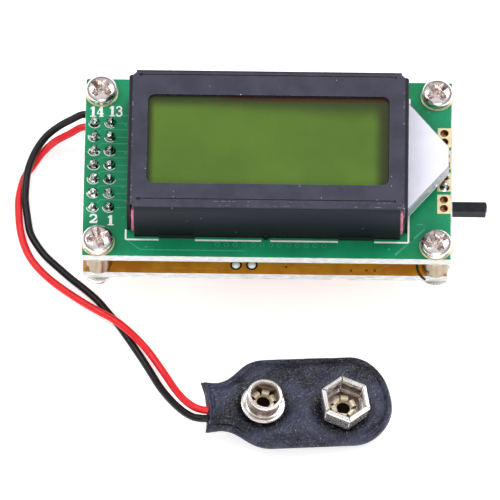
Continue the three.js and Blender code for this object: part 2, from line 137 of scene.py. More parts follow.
class Paint:
    """One node material. Sizes are in mm and measured in object space."""

    def __init__(self, name, **uniform):
        self.material = bpy.data.materials.new(name)
        self.material.use_nodes = True
        self.tree = self.material.node_tree
        self.shader = self.tree.nodes["Principled BSDF"]
        self.place = self.vector("SCALE", self.source("ShaderNodeTexCoord", "Object"), scale=1 / MM)
        for socket, value in uniform.items():
            name = socket.replace("_", " ").title().replace("Ior", "IOR")
            self.shader.inputs[name].default_value = value

    def node(self, kind, values, **settings):
        """A new node whose inputs, by number or name, are linked or set."""
        made = self.tree.nodes.new(kind)
        for key, value in settings.items():
            setattr(made, key, value)
        for key, value in values.items():
            if isinstance(value, bpy.types.NodeSocket):
                self.tree.links.new(value, made.inputs[key])
            elif value is not None:
                made.inputs[key].default_value = value
        return made

    def source(self, kind, output):
        return self.node(kind, {}).outputs[output]

    def vector(self, operation, a, b=None, scale=None):
        made = self.node("ShaderNodeVectorMath", {0: a, 1: b, 3: scale}, operation=operation)
        return made.outputs["Value" if operation in ("DOT_PRODUCT", "LENGTH") else "Vector"]

    def math(self, operation, a, b=None):
        return self.node("ShaderNodeMath", {0: a, 1: b}, operation=operation).outputs[0]

    def axis(self, name, vector=None):
        return self.node("ShaderNodeSeparateXYZ", {0: vector or self.place}).outputs[name]

    def fade(self, value, start, end, low=0.0, high=1.0):
        """A smooth step from low at start to high at end."""
        values = dict(enumerate((value, start, end, low, high)))
        return self.node("ShaderNodeMapRange", values, interpolation_type="SMOOTHSTEP").outputs[0]

    def noise(self, size, detail=3.0, stretch=(1, 1, 1), seed=0.0):
        moved = self.vector("ADD", self.vector("MULTIPLY", self.place, stretch), (seed, seed * 2, seed * 3))
        values = {"Vector": moved, "Scale": 1 / size, "Detail": detail}
        return self.node("ShaderNodeTexNoise", values).outputs["Fac"]

    def specks(self, spacing, size, share, seed=0.0):
        """Small round flecks in a share of the cells of a grid of random points."""
        moved = self.vector("ADD", self.place, (seed, seed, seed))
        cells = self.node("ShaderNodeTexVoronoi", {"Vector": moved, "Scale": 1 / spacing}).outputs
        near = self.fade(cells["Distance"], size / spacing, size / spacing * 0.6)
        chance = self.node("ShaderNodeSeparateColor", {0: cells["Color"]}).outputs[0]
        return self.math("MULTIPLY", near, self.math("LESS_THAN", chance, share))

    def edges(self, radius, start=0.02, end=0.25):
        """1 along sharp edges, 0 on flat faces."""
        soft = self.node("ShaderNodeBevel", {"Radius": radius * MM}, samples=4).outputs["Normal"]
        same = self.vector("DOT_PRODUCT", soft, self.source("ShaderNodeNewGeometry", "Normal"))
        return self.fade(self.math("SUBTRACT", 1.0, same), start, end)

    def mix(self, factor, a, b):
        return self.node("ShaderNodeMix", {0: factor, 6: a, 7: b}, data_type="RGBA").outputs[2]

    def bump(self, height, depth):
        """Relief on top of any earlier relief."""
        normal = self.shader.inputs["Normal"]
        earlier = normal.links[0].from_socket if normal.is_linked else None
        made = self.node("ShaderNodeBump", {"Height": height, "Distance": depth * MM, "Normal": earlier})
        self.tree.links.new(made.outputs[0], normal)

    def coat(self, color, rough):
        self.tree.links.new(color, self.shader.inputs["Base Color"])
        self.tree.links.new(rough, self.shader.inputs["Roughness"])
        return self.material


def finish(name, light, dark, rough, patch=3.0, grain=0.25, relief=0.01, stretch=(1, 1, 1),
           dust=None, worn=None, **uniform):
    """Two tones in soft patches, uneven gloss and a fine grain, with optional dust and worn edges."""
    paint = Paint(name, **uniform)
    spots = paint.noise(patch, 4, stretch)
    fine = paint.noise(grain, 3, stretch, seed=7)
    color = paint.mix(paint.fade(spots, 0.34, 0.66), rgb(light), rgb(dark))
    if worn:
        share = paint.math("MULTIPLY", paint.edges(worn[1]), paint.fade(fine, 0.4, 0.6))
        color = paint.mix(share, color, rgb(worn[0]))
    if dust:
        color = paint.mix(paint.specks(*dust), color, rgb("e4e4ea"))
    level = paint.math("ADD", paint.math("MULTIPLY", fine, 0.6), paint.math("MULTIPLY", spots, 0.4))
    paint.bump(fine, relief)
    return paint.coat(color, paint.fade(level, 0.3, 0.7, *rough))


def display_film():
    """The olive face, with painted shade: darker along the sides and rear edge of the window, and a painted
    brown shadow along the rear edge on the right, where the bezel shades the sunken cell.
    """
    paint = Paint("display film", specular_ior_level=0.2)
    x, y = paint.axis("X"), paint.axis("Y")
    left, right, _, rear = window
    sides = paint.math("MULTIPLY", paint.fade(x, left + 0.2, left + 1.4),
                       paint.fade(x, right - 0.8, right - 2.8))
    shade_width = paint.fade(x, left + 4, right, 2.2, 4.6)
    back = paint.fade(paint.math("SUBTRACT", rear - 0.4, y), 0.0, shade_width)
    warm = paint.math("MAXIMUM", paint.fade(y, rear - 0.5, rear - 1.0), paint.fade(x, left + 16, left + 9))
    olive = paint.mix(paint.fade(paint.noise(9, 2), 0.3, 0.7), rgb("58742a"), rgb("506c27"))
    # painted shade: dark olive along the sides and the rear edge of the window
    color = paint.mix(paint.math("MULTIPLY", sides, back), rgb("343c20"), olive)
    # painted shadow: a brown strip along the rear edge, on the right part of the window
    color = paint.mix(warm, rgb("3e2616"), color)
    paint.bump(paint.noise(0.12, 2), 0.002)
    return paint.coat(color, paint.fade(paint.noise(2.5), 0.3, 0.7, 0.22, 0.32))


def bezel_paint():
    """Satin black paint: upward faces a lighter grey and folds and walls darker as painted light and shade,
    the walls darker still towards the foot, with wear along the folds and flecks of dust.
    """
    paint = Paint("black paint", specular_ior_level=0.12)
    x, y, z = (paint.axis(name) for name in "XYZ")
    spots, fine = paint.noise(3.5, 4), paint.noise(0.16, 3, seed=7)
    # painted light: the lighter grey that the upward faces take
    film = paint.mix(paint.fade(spots, 0.34, 0.66), rgb("464654"), rgb("3e3e4b"))
    # painted shade: the walls darken towards the foot
    wall = paint.mix(paint.fade(z, BOARD_TOP + 0.5, bezel_high[2] - 0.6), rgb("101718"), rgb("262831"))
    facing_up = paint.axis("Z", paint.source("ShaderNodeNewGeometry", "Normal"))
    aside = paint.math("ABSOLUTE", paint.math("SUBTRACT", x, BEZEL_X))
    # painted light and shade: faces that look up, away from the side folds, take the lighter grey; folds and
    # walls take the darker tone
    lit_top_mask = paint.math("MULTIPLY", paint.fade(facing_up, 0.93, 0.998), paint.fade(aside, 21.5, 21.3))
    color = paint.mix(lit_top_mask, wall, film)
    broken = paint.math("MULTIPLY", paint.fade(paint.noise(0.4, 2, seed=3), 0.52, 0.62),
                        paint.fade(paint.noise(3.0, 2, seed=9), 0.42, 0.56))
    high_up = paint.fade(z, bezel_high[2] - 0.7, bezel_high[2] - 0.5)
    for place, at, half in ((x, bezel_low[0] + 0.7, 0.09), (x, bezel_high[0] - 0.75, 0.09),
                            (y, bezel_low[1] + 0.85, 0.06), (y, bezel_low[1] + 1.6, 0.05)):
        near = paint.math("ABSOLUTE", paint.math("SUBTRACT", place, at))
        near = paint.math("MULTIPLY", paint.fade(near, half * 1.6, half * 0.6), broken)
        color = paint.mix(paint.math("MULTIPLY", near, high_up), color, rgb("767682"))
    share = paint.math("MULTIPLY", paint.edges(0.1), paint.fade(fine, 0.4, 0.6))
    color = paint.mix(share, color, rgb("8b8a96"))
    for specks in ((1.1, 0.065, 0.14, 0), (2.3, 0.1, 0.06, 5)):
        color = paint.mix(paint.specks(*specks), color, rgb("e8e8ee"))
    paint.bump(fine, 0.014)
    return paint.coat(color, paint.fade(fine, 0.3, 0.7, 0.4, 0.55))


def vinyl():
    """Calendered black vinyl: leathery grain, pale flecks as painted glints, and painted shade in the hollows
    pressed round the terminals.
    """
    paint = Paint("black vinyl", specular_ior_level=0.3)
    grain = paint.node("ShaderNodeTexVoronoi", {"Vector": paint.place, "Scale": 1 / 0.3}, feature="SMOOTH_F1")
    tone = paint.mix(paint.fade(paint.noise(4.5, 3), 0.36, 0.64), rgb("383a4e"), rgb("161620"))
    # painted shade: darker round the stud and the socket
    for spot in (STUD, SOCKET):
        x, y, _ = SNAP_TURN @ Vector((*spot, 0))
        away = paint.vector("MULTIPLY", paint.vector("SUBTRACT", paint.place, (x, y, 0)), (1, 1, 0))
        tone = paint.mix(paint.fade(paint.vector("LENGTH", away), 3.7, 5.4), rgb("0d0d14"), tone)
    # painted highlights: pale flecks of grain and small glints
    tone = paint.mix(paint.fade(paint.noise(0.3, 3, seed=4), 0.56, 0.74), tone, rgb("5a5c74"))
    tone = paint.mix(paint.specks(0.5, 0.08, 0.1), tone, rgb("c0c2cf"))
    paint.bump(grain.outputs["Distance"], 0.1)
    paint.bump(paint.noise(0.8, 3), 0.14)
    return paint.coat(tone, paint.fade(paint.noise(0.9, 3), 0.3, 0.7, 0.22, 0.42))


# ---- drawing solids ----

def circle(radius, sides, centre=(0, 0), turn=0.0):
    return [(centre[0] + radius * math.cos(turn + TAU * i / sides),
             centre[1] + radius * math.sin(turn + TAU * i / sides)) for i in range(sides)]


def on_circle(radius, degrees, centre=(0, 0)):
    """Points of a circle at each of the given angles."""
    return [(centre[0] + radius * math.cos(math.radians(a)), centre[1] + radius * math.sin(math.radians(a)))
            for a in degrees]


def rim_of(low, high, r=0.0, step=None, arc=3):
    """Anticlockwise rounded rectangle as (x, y, outward x, outward y)."""
    bends = []
    for cx, cy, start in ((high[0] - r, low[1] + r, -90), (high[0] - r, high[1] - r, 0),
                          (low[0] + r, high[1] - r, 90), (low[0] + r, low[1] + r, 180)):
        turns = [math.radians(start + 90 * i / arc) for i in range(arc + 1)]
        bends.append([(cx + r * math.cos(a), cy + r * math.sin(a), math.cos(a), math.sin(a)) for a in turns])
    loop = []
    for bend, after in zip(bends, bends[1:] + bends[:1]):
        x, y, nx, ny = bend[-1]
        dx, dy = after[0][0] - x, after[0][1] - y
        count = int(math.hypot(dx, dy) / step) if step else 0
        loop += bend + [(x + dx * i / count, y + dy * i / count, nx, ny) for i in range(1, count)]
    return loop


def rectangle(low, high, r=0.0, step=None, arc=3):
    return [p[:2] for p in rim_of(low, high, r, step, arc)]


def thicken(path, half):
    """Closed outline round an open path in two dimensions."""
    left, right = [], []
    for i, (x, y) in enumerate(path):
        (ax, ay), (bx, by) = path[max(i - 1, 0)], path[min(i + 1, len(path) - 1)]
        size = math.hypot(bx - ax, by - ay) / half
        nx, ny = (ay - by) / size, (bx - ax) / size
        left.append((x + nx, y + ny))
        right.append((x - nx, y - ny))
    return right + left[::-1]


def bezier(a, b, c, d, count):
    """Points after a and up to d."""
    steps = [i / count for i in range(1, count + 1)]
    return [tuple(a[k] * (1 - t) ** 3 + 3 * b[k] * t * (1 - t) ** 2 + 3 * c[k] * t * t * (1 - t)
                  + d[k] * t ** 3 for k in range(2)) for t in steps]


def smooth_path(points, count):
    """Catmull-Rom curve through the points, with count steps between neighbours."""
    through = [Vector(p) for p in points]
    through = [2 * through[0] - through[1], *through, 2 * through[-1] - through[-2]]
    made = []
    for a, b, c, d in zip(through, through[1:], through[2:], through[3:]):
        for i in range(count):
            t = i / count
            made.append(0.5 * (2 * b + (c - a) * t + (2 * a - 5 * b + 4 * c - d) * t * t
                               + (3 * b - a - 3 * c + d) * t ** 3))
    return [*made, through[-2]]


class Shape:
    """Points in mm, faces, and the number of each face's material."""

    def __init__(self):
        self.points, self.faces, self.marks = [], [], []

    def add(self, points, faces, mark=0):
        start = len(self.points)
        self.points += [tuple(p) for p in points]
        self.faces += [[start + i for i in face] for face in faces]
        self.marks += [mark] * len(faces)
        return self

    def join(self, other, matrix=Matrix.Identity(4)):
        self.add([matrix @ Vector(p) for p in other.points], other.faces)
        self.marks[len(self.marks) - len(other.marks):] = other.marks
        return self

    def loft(self, rings, mark=0, caps=True, closed=False):
        """Skin over rings of equal length."""
        count, faces = len(rings[0]), []
        for r in range(len(rings) if closed else len(rings) - 1):
            a, b = r * count, (r + 1) % len(rings) * count
            faces += [[a + i, a + (i + 1) % count, b + (i + 1) % count, b + i] for i in range(count)]
        if caps and not closed:
            last = (len(rings) - 1) * count
            faces += [list(range(count))[::-1], [last + i for i in range(count)]]
        return self.add([p for ring in rings for p in ring], faces, mark)

    def lathe(self, section, centre=(0, 0, 0), sides=24, mark=0, closed=False):
        """Turned about Z from (radius, height) pairs."""
        x, y, z = centre
        rings = [[(px, py, z + h) for px, py in circle(r, sides, (x, y))] for r, h in section]
        return self.loft(rings, mark, closed=closed)

    def prism(self, outline, z0, z1, mark=0, caps=True):
        return self.loft([[(x, y, z) for x, y in outline] for z in (z0, z1)], mark, caps)

    def box(self, low, high, mark=0):
        (x0, y0, z0), (x1, y1, z1) = low, high
        return self.prism([(x0, y0), (x1, y0), (x1, y1), (x0, y1)], z0, z1, mark)

    def sheet(self, loops, z, mark=0):
        """A flat face at height z, bounded by the first loop and open inside the others."""
        lines = [[Vector((x, y, 0)) for x, y in loop] for loop in loops]
        return self.add([(x, y, z) for loop in loops for x, y in loop], tessellate_polygon(lines), mark)

    def plate(self, loops, z0, z1, mark=0):
        """A slab between z0 and z1 with holes."""
        self.sheet(loops, z0, mark).sheet(loops, z1, mark)
        for loop in loops:
            self.prism(loop, z0, z1, mark, caps=False)
        return self

    def washer(self, place, outer, inner, z0, z1):
        """A flat ring; outer and inner are (radius, sides)."""
        return self.plate([circle(*outer, place), circle(*inner, place)], z0, z1)

    def tube(self, path, radius, sides=10):
        """Round bar along a path."""
        path = [Vector(p) for p in path]
        side = (path[1] - path[0]).orthogonal()
        rings = []
        for i, p in enumerate(path):
            along = (path[min(i + 1, len(path) - 1)] - path[max(i - 1, 0)]).normalized()
            side = (side - along * side.dot(along)).normalized()
            other = along.cross(side)
            rings.append([p + side * x + other * y for x, y in circle(radius, sides)])
        return self.loft(rings)

    def strip(self, path, half, z0, z1):
        """A flat ribbon along a path in plan."""
        return self.prism(thicken(path, half), z0, z1)

    def fold(self, section, thickness, half_width, steps=1):
        """A bent sheet tab: section is a path of (x, z), and half_width gives its half width in Y at x."""
        outline = thicken(section, thickness / 2)
        spread = [2 * i / steps - 1 for i in range(steps + 1)]
        return self.loft([[(x, t * half_width(x), z) for x, z in outline] for t in spread])


def make_mesh(name, shape, materials, smooth=True):
    """The shape in metres, with its faces turned outward."""
    mesh = bpy.data.meshes.new(name)
    mesh.from_pydata([[c * MM for c in p] for p in shape.points], [], shape.faces)
    for material in materials:
        mesh.materials.append(material)
    mesh.polygons.foreach_set("material_index", shape.marks)
    mesh.polygons.foreach_set("use_smooth", [smooth] * len(mesh.polygons))
    work = bmesh.new()
    work.from_mesh(mesh)
    bmesh.ops.remove_doubles(work, verts=work.verts, dist=1e-7)
    bmesh.ops.recalc_face_normals(work, faces=work.faces)
    work.to_mesh(mesh)
    work.free()
    return mesh


def piece(name, shape, materials, body="tester", bevel=0.0, replaces=(), angle=38):
    """Turns a shape into an object that rides on a body."""
    mesh = make_mesh(name, shape, materials if isinstance(materials, list) else [materials])
    mesh.set_sharp_from_angle(angle=math.radians(angle))
    made = add_object(name, mesh)
    if bevel:
        soften(made, bevel)
    return settle(made, body, replaces)


def settle(made, body="tester", replaces=()):
    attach(made, body)
    if replaces:
        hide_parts(*replaces)
    return made


def soften(made, width):
    bevel = made.modifiers.new("soft edges", "BEVEL")
    bevel.width = width * MM
    bevel.segments = 2
    bevel.limit_method = "ANGLE"
    bevel.angle_limit = math.radians(40)
    bevel.harden_normals = True


def carve(made, cutter_shape, lining=None):
    """Cuts a shape out of an object for good; the cut faces take the lining material if there is one."""
    linings = [lining] if lining else []
    cutter = add_object("cutter", make_mesh("cutter", cutter_shape, linings, smooth=False))
    cutter.matrix_world = made.matrix_world
    modifier = made.modifiers.new("cut", "BOOLEAN")
    modifier.operation, modifier.object, modifier.solver = "DIFFERENCE", cutter, "EXACT"
    modifier.use_self = True
    modifier.material_mode = "TRANSFER" if lining else "INDEX"
    bpy.context.view_layer.update()
    cut = bpy.data.meshes.new_from_object(made.evaluated_get(bpy.context.evaluated_depsgraph_get()))
    made.modifiers.clear()
    made.data = cut
    cut.set_sharp_from_angle(angle=math.radians(38))
    bpy.data.objects.remove(cutter)


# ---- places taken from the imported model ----

board_low, board_high = span("display_board")
lower_low, lower_high = span("measuring_board")
bezel_low, bezel_high = span("bezel")
BOARD_TOP, BOARD_UNDER = board_high[2], board_low[2]
LOWER_TOP, LOWER_UNDER = lower_high[2], lower_low[2]
BEZEL_X, BEZEL_Y, _ = middle("bezel")
window = (BEZEL_X - 19, BEZEL_X + 19, -7.7, 8.3)
CORNERS = [f"{end}_{side}" for end in ("front", "rear") for side in ("left", "right")]
SCREWS = [middle(f"top_screw_{corner}")[:2] for corner in CORNERS]
PITCH = 2.54
header_x, header_y, _ = middle("pin_header")
PINS = [(header_x + side * PITCH / 2, header_y + row * PITCH) for side in (-1, 1) for row in range(-3, 4)]
SNAP_TURN = (Matrix.Translation((2.5, -34, 1.8)) @ rotation(math.radians(6.2), "Z")
             @ rotation(math.radians(7), "Y"))  # the snap lies turned, with its sleeve end raised
STUD = (-6.15, -1.1)
SOCKET = (STUD[0] + 12.7 * math.cos(math.radians(-5)), STUD[1] + 12.7 * math.sin(math.radians(-5)))

make_camera()
make_sky()
bpy.context.scene.view_settings.view_transform = "Standard"
softbox("key", (0.4, 0.3, 0.7), (0.4, 0.4), 2.4)
softbox("second", (-0.45, 0.2, 0.7), (0.4, 0.4), 2.0)
softbox("front", (0.05, -0.68, 0.36), (0.5, 0.3), 2.2)

WHITE_INK = finish("white ink", "ffffff", "f0f4ee", (0.45, 0.6), patch=0.8, grain=0.12, relief=0.004)
GREEN = finish("green mask", "1c9263", "138355", (0.25, 0.38), patch=6, grain=0.35, relief=0.004,
               dust=(2.4, 0.06, 0.1), specular_ior_level=0.22)
GREEN_LINE = finish("mask over copper", "3fae84", "309c72", (0.25, 0.35), patch=1, grain=0.2, relief=0.004)
AMBER = finish("amber mask", "f49c2c", "e0862a", (0.24, 0.38), patch=2.5, grain=0.35, relief=0.004,
               specular_ior_level=0.3)
AMBER_LINE = finish("amber over copper", "f2b43c", "d9971f", (0.25, 0.38), patch=1)
OLIVE_MASK = finish("olive mask", "a98f2c", "8f8430", (0.3, 0.45), patch=1.2)
DARK_CLEARANCE = finish("bare clearance", "35532a", "24401c", (0.3, 0.45), patch=0.8)
GLASS_FIBRE = finish("sawn fibreglass", "f1f3f2", "c6cccd", (0.6, 0.85), patch=0.4, grain=0.1, relief=0.03,
                     stretch=(0.3, 0.3, 2.5))
PLATED = finish("plated hole", "8a5a30", "5f3a1e", (0.3, 0.5), patch=0.4, metallic=0.7)
GOLD_PAD = finish("gold plated pad", "f3e3bd", "e4cf9e", (0.3, 0.45), patch=0.7, grain=0.12, relief=0.006,
                  metallic=0.35)
# the two tones are partly tarnish and partly painted light: light patches are painted highlights, dark
# patches painted shade and dark reflection
SOLDER = finish("solder", "fbf9f7", "302c2a", (0.1, 0.24), patch=0.7, relief=0.03, metallic=1.0)
# painted highlight: a flat, non-metal white that stands for the shine of solder joints lying in shade
BRIGHT_PAINTED_SOLDER = finish("solder painted bright", "ffffff", "f0f0f2", (0.2, 0.35), patch=0.5)
NICKEL = finish("bright nickel", "f4efec", "e2dbd8", (0.16, 0.3), patch=0.9, grain=0.2, relief=0.012,
                metallic=1.0)
# painted shade: the cross recesses of the screws take a darker, browner nickel
RECESS_SHADE = finish("recess with painted shade", "f0e8e5", "b5a298", (0.16, 0.3), patch=0.6, grain=0.3, relief=0.02,
                metallic=1.0)
# painted reflections: the patches, stretched upright, make vertical streaks that stand for reflections of the
# surroundings
TURNED = finish("turned nickel", "ac9c87", "9b8a75", (0.16, 0.26), patch=0.9, grain=0.3, relief=0.001,
                stretch=(1.6, 1.6, 0.2), metallic=1.0)
PLATE = finish("plated shell", "f8f4f2", "e2dad6", (0.16, 0.26), patch=1.6, grain=0.5, relief=0.002,
               metallic=0.8)
# painted shade and dark reflection: the bore and neck of the stud, and the inner walls and floor of the
# socket
SHADED_PLATING = finish("plating with painted shade", "9a8a7e", "665750", (0.25, 0.4), patch=1.0, relief=0.012, metallic=0.85)
CREAM_METAL = finish("eyelet brass", "fbf0d6", "ecd9b0", (0.25, 0.4), patch=0.7, grain=0.15, relief=0.012,
                     metallic=0.25)
# painted shade: dark sheets in the eyelet's hole and under its tabs, where shade falls
HOLE_SHADE = finish("eyelet hole", "1c0e09", "0e0604", (0.7, 0.9), patch=0.6, specular_ior_level=0.05)
TIN = finish("tin plate", "cfcdc9", "b4b1ae", (0.25, 0.42), patch=0.8, grain=0.12, metallic=1.0)
BLACK_PAINT = bezel_paint()
GROOVE_PAINT = finish("shaded paint", "15151a", "0f0f13", (0.5, 0.7), patch=1.0)
DISPLAY_FILM = display_film()
GLASS = finish("display glass", "b9cabf", "a9bbb0", (0.05, 0.12), relief=0.001,
               transmission_weight=0.6, ior=1.5)
PINK = finish("pink rubber", "ee8fb0", "dd7799", (0.55, 0.7), patch=0.7, grain=0.1)
# painted light: the white film glows faintly, as if lit from within
FILM_WHITE = finish("white film", "ebeaf7", "e4e3f1", (0.4, 0.5), patch=4, grain=0.3, relief=0.003,
                    emission_color=(0.9, 0.9, 1, 1), emission_strength=0.06)
ACRYLIC = finish("acrylic", "cfd9d8", "b9c6c5", (0.15, 0.28), patch=1.5, grain=0.3, relief=0.006,
                 transmission_weight=0.55, ior=1.49)
BLACK_PLASTIC = finish("black plastic", "1f1f25", "18181c", (0.4, 0.6), patch=1.2, grain=0.12, relief=0.015,
                       worn=("4a4a52", 0.1))
LEVER_PLASTIC = finish("lever plastic", "1e1f29", "171820", (0.5, 0.65), patch=1.0, grain=0.14, relief=0.03,
                       specular_ior_level=0.3)
WHITE_PLASTIC = finish("white plastic", "eceae2", "dcd9cf", (0.4, 0.55), patch=1.2, grain=0.15)
BLUE_PLASTIC = finish("blue plastic", "215bb0", "1a4c98", (0.35, 0.5), patch=1.0, grain=0.15)
EPOXY = finish("black epoxy", "131316", "0d0d0f", (0.18, 0.34), patch=1.5, grain=0.5, relief=0.03)
SLEEVE = finish("can sleeve", "1e2545", "171d38", (0.28, 0.4), patch=1.4, grain=0.2)
SLEEVE_STRIPE = finish("can stripe", "c9ccd6", "b5b9c6", (0.35, 0.45), patch=1.0)
CERAMIC = finish("ceramic", "bd7430", "a5622a", (0.45, 0.6), patch=0.6, grain=0.15, relief=0.03)
LACQUER = finish("resistor lacquer", "63a3c8", "5594ba", (0.35, 0.5), patch=0.7, grain=0.15)
BANDS = [finish(f"{name} ring", light, dark, (0.4, 0.5), patch=0.4) for name, light, dark in (
    ("brown", "6b3b1c", "5a3017"), ("black", "1b1b1d", "131315"), ("red", "b3262a", "981d21"),
    ("orange", "d2691e", "b85a18"), ("gold", "b08d3e", "94742e"))]
RED_VINYL = finish("red sleeve", "ee1722", "e0121c", (0.32, 0.48), patch=1.5, grain=0.2,
                   specular_ior_level=0.5)
BLACK_SLEEVE = finish("black sleeve", "0e0e14", "09090d", (0.28, 0.4), patch=1.5, grain=0.2,
                      specular_ior_level=0.3)
VINYL = vinyl()
FLOOR_PAINT = finish("white sweep", "fcfcfc", "f8f8f8", (0.8, 0.9), patch=40, grain=2, relief=0.002,
                     emission_color=(1, 1, 1, 1), emission_strength=0.5)

sweep = Shape().prism(rectangle((-900, -900), (900, 900), 40, arc=6), -2, -0.03)
add_object("floor", make_mesh("floor", sweep, [FLOOR_PAINT], smooth=False))


# ---- battery leads ----

LEAD_R = 0.6
RED_ROUTE = [
    (-23.6, 10.2, 8.3), (-24.3, 10.6, 6.6), (-26.6, 11.7, 5.7), (-29.4, 13, 5.5), (-32.3, 13.9, 5),
    (-34.6, 13.4, 3.6), (-37, 12.7, 2.2), (-39, 11.1, 1.2), (-40.4, 9.1, 0.7), (-41.6, 7.2, 0.65),
    (-42.2, 5, 0.65), (-42.5, 2.7, 0.65), (-42.4, 0.1, 0.65), (-42.1, -2.6, 0.65),
    (-41.4, -5.3, 0.65), (-40.2, -7.9, 0.65), (-38.4, -10.2, 0.65), (-36.4, -12.1, 0.65),
    (-34, -14, 0.7), (-31.6, -15.8, 0.9), (-29.3, -17.5, 1.4), (-26.9, -19.2, 1.9),
    (-24.9, -20.9, 2), (-22.9, -22.8, 1.7), (-21.2, -24.7, 1.3), (-19.8, -26.8, 1.3),
    (-18.4, -29.2, 1.7), (-17, -31.9, 2.6), (-15.6, -34.2, 3.6), (-14.2, -35.8, 4.4),
    (-12.95, -36.6, 4.8), (-11.6, -36.9, 4.9)]
BLACK_ROUTE = [
    (-23.6, 13, 8.3), (-24.3, 13.2, 6.6), (-26.7, 14.1, 5.7), (-29.6, 15.2, 5.5), (-32.3, 16.2, 5),
    (-34.3, 15.7, 4.2), (-36.3, 14.9, 3.4), (-38.2, 13.5, 2.8), (-39.6, 11.6, 2.4),
    (-40.6, 9.4, 2.1), (-41.2, 7, 1.9), (-41.4, 4.4, 1.6), (-41.4, 2.4, 1.2), (-41, -0.4, 0.75),
    (-40.5, -3, 0.65), (-39.4, -5.2, 0.65), (-37.9, -7.3, 0.65), (-35.8, -9.4, 0.65),
    (-33.8, -11.3, 0.65), (-31.7, -13.1, 0.65), (-29.7, -15, 0.65), (-28, -17.1, 0.65),
    (-26.3, -19.3, 0.65), (-24.9, -21.4, 0.65), (-23.5, -23.6, 0.65), (-22.1, -25.9, 0.7),
    (-20.8, -28.3, 1), (-19.4, -31, 1.6), (-17.8, -33.6, 2.5), (-16, -36, 3.5), (-14.3, -37.6, 4.3),
    (-12.95, -38.2, 4.8), (-11.6, -38.3, 4.9)]


def make_lead(name, node, route, material):
    line = [place * MM for place in smooth_path(route, 6)]
    curve = bpy.data.curves.new(name, "CURVE")
    curve.dimensions = "3D"
    curve.bevel_depth = LEAD_R * MM
    curve.bevel_resolution = 5
    curve.use_fill_caps = True
    spline = curve.splines.new("POLY")
    spline.points.add(len(line) - 1)
    for point, place in zip(spline.points, line):
        point.co = (*place, 1)
    spline.use_smooth = True
    curve.materials.append(material)
    made = settle(add_object(name, curve), replaces=[node])
    return made, line[0], sum((b - a).length for a, b in zip(line, line[1:]))


# ---- circuit boards ----

SCORE = ((0.05, 0, 0.03), (0.03, 0.4, 0.03), (0.0, 0.55, 0.06), (0.0, -0.55, 0.06), (0.03, -0.4, 0.03),
         (0.05, 0, 0.03))  # inset, height from the near face and roughness of each line of the edge
BROKEN_RIM = 0.2  # bare rim along the right edge, where the panel was snapped off
SCREW_HOLE, PIN_HOLE, PAD_HOLE = (1.35, 20), (0.55, 10), (0.6, 10)  # radius and sides
PAD_X = (23.83, 26.02)
PAD_YS = (6, 2, -2, -6)
PAD_HOLES = [(24.88, y + side * 0.78) for y in PAD_YS for side in (1, -1)]
VIA_XS = [-10.55 + 1.39 * i for i in range(13)]
VIA_Y = -13.7
GLYPHS = {  # strokes in a unit cell: path, half width
    "1": (([(0.52, 0), (0.52, 1)], 0.19), ([(0.1, 0.05), (0.94, 0.05)], 0.075),
          ([(0.14, 0.76), (0.46, 0.93)], 0.09)),
    "2": (([(0.12, 0.7), (0.22, 0.9), (0.5, 0.97), (0.8, 0.86), (0.83, 0.62), (0.55, 0.36), (0.14, 0.1)],
           0.12), ([(0.06, 0.1), (0.92, 0.1)], 0.12), ([(0.88, 0.08), (0.93, 0.36)], 0.06)),
    "3": (([(0.12, 0.74), (0.26, 0.92), (0.54, 0.96), (0.8, 0.82), (0.76, 0.6), (0.4, 0.53)], 0.12),
          ([(0.42, 0.53), (0.8, 0.45), (0.86, 0.2), (0.6, 0.04), (0.28, 0.05), (0.1, 0.24)], 0.13)),
    "4": (([(0.6, 0.95), (0.1, 0.36)], 0.08), ([(0.04, 0.3), (0.98, 0.3)], 0.09),
          ([(0.66, 0), (0.66, 1)], 0.18), ([(0.36, 0.05), (0.98, 0.05)], 0.07)),
}
NUMBERS = (("14", -30.0, 10.0, 1.13, 1.9), ("13", -27.0, 10.1, 1.1, 1.9), ("2", -30.1, -9.35, 1.35, 1.6),
           ("1", -27.4, -9.6, 1.15, 1.8))  # text, centre, cell width and height
FEET = ((-19.8, -14.1), (8.3, 14.0))  # stretches where the bezel's feet meet the board


def film(z, rise, side=1):
    """Lowest and highest z of a thin layer that is sunk by a hair into a face at z."""
    return sorted((z - side * 0.01, z + side * rise))


def circuit_board(node, holes, mask):
    """A sawn board: both faces carry solder mask and stop short of the scored, broken edge."""
    low, high = span(node)
    rim = rim_of(low, high, 0.35, step=0.55)
    layers = []
    for index, (inset, drop, rough) in enumerate(SCORE):
        z = (high[2] if index < 3 else low[2]) - drop
        layer = []
        for x, y, nx, ny in rim:
            d = inset + (BROKEN_RIM if nx > 0.9 and not drop else 0) + RNG.uniform(0, rough)
            layer.append((x - nx * d, y - ny * d, z))
        layers.append(layer)
    shape = Shape().loft(layers, mark=1, caps=False)
    rings = [circle(r, sides, spot) for (r, sides), spots in holes for spot in spots]
    for layer in (layers[0], layers[-1]):
        shape.sheet([[p[:2] for p in layer], *rings], layer[0][2], 0)
    for ring in rings:
        shape.prism(ring, low[2], high[2], 2, caps=False)
    piece(f"{node}_look", shape, [mask, GLASS_FIBRE, PLATED], replaces=[node])


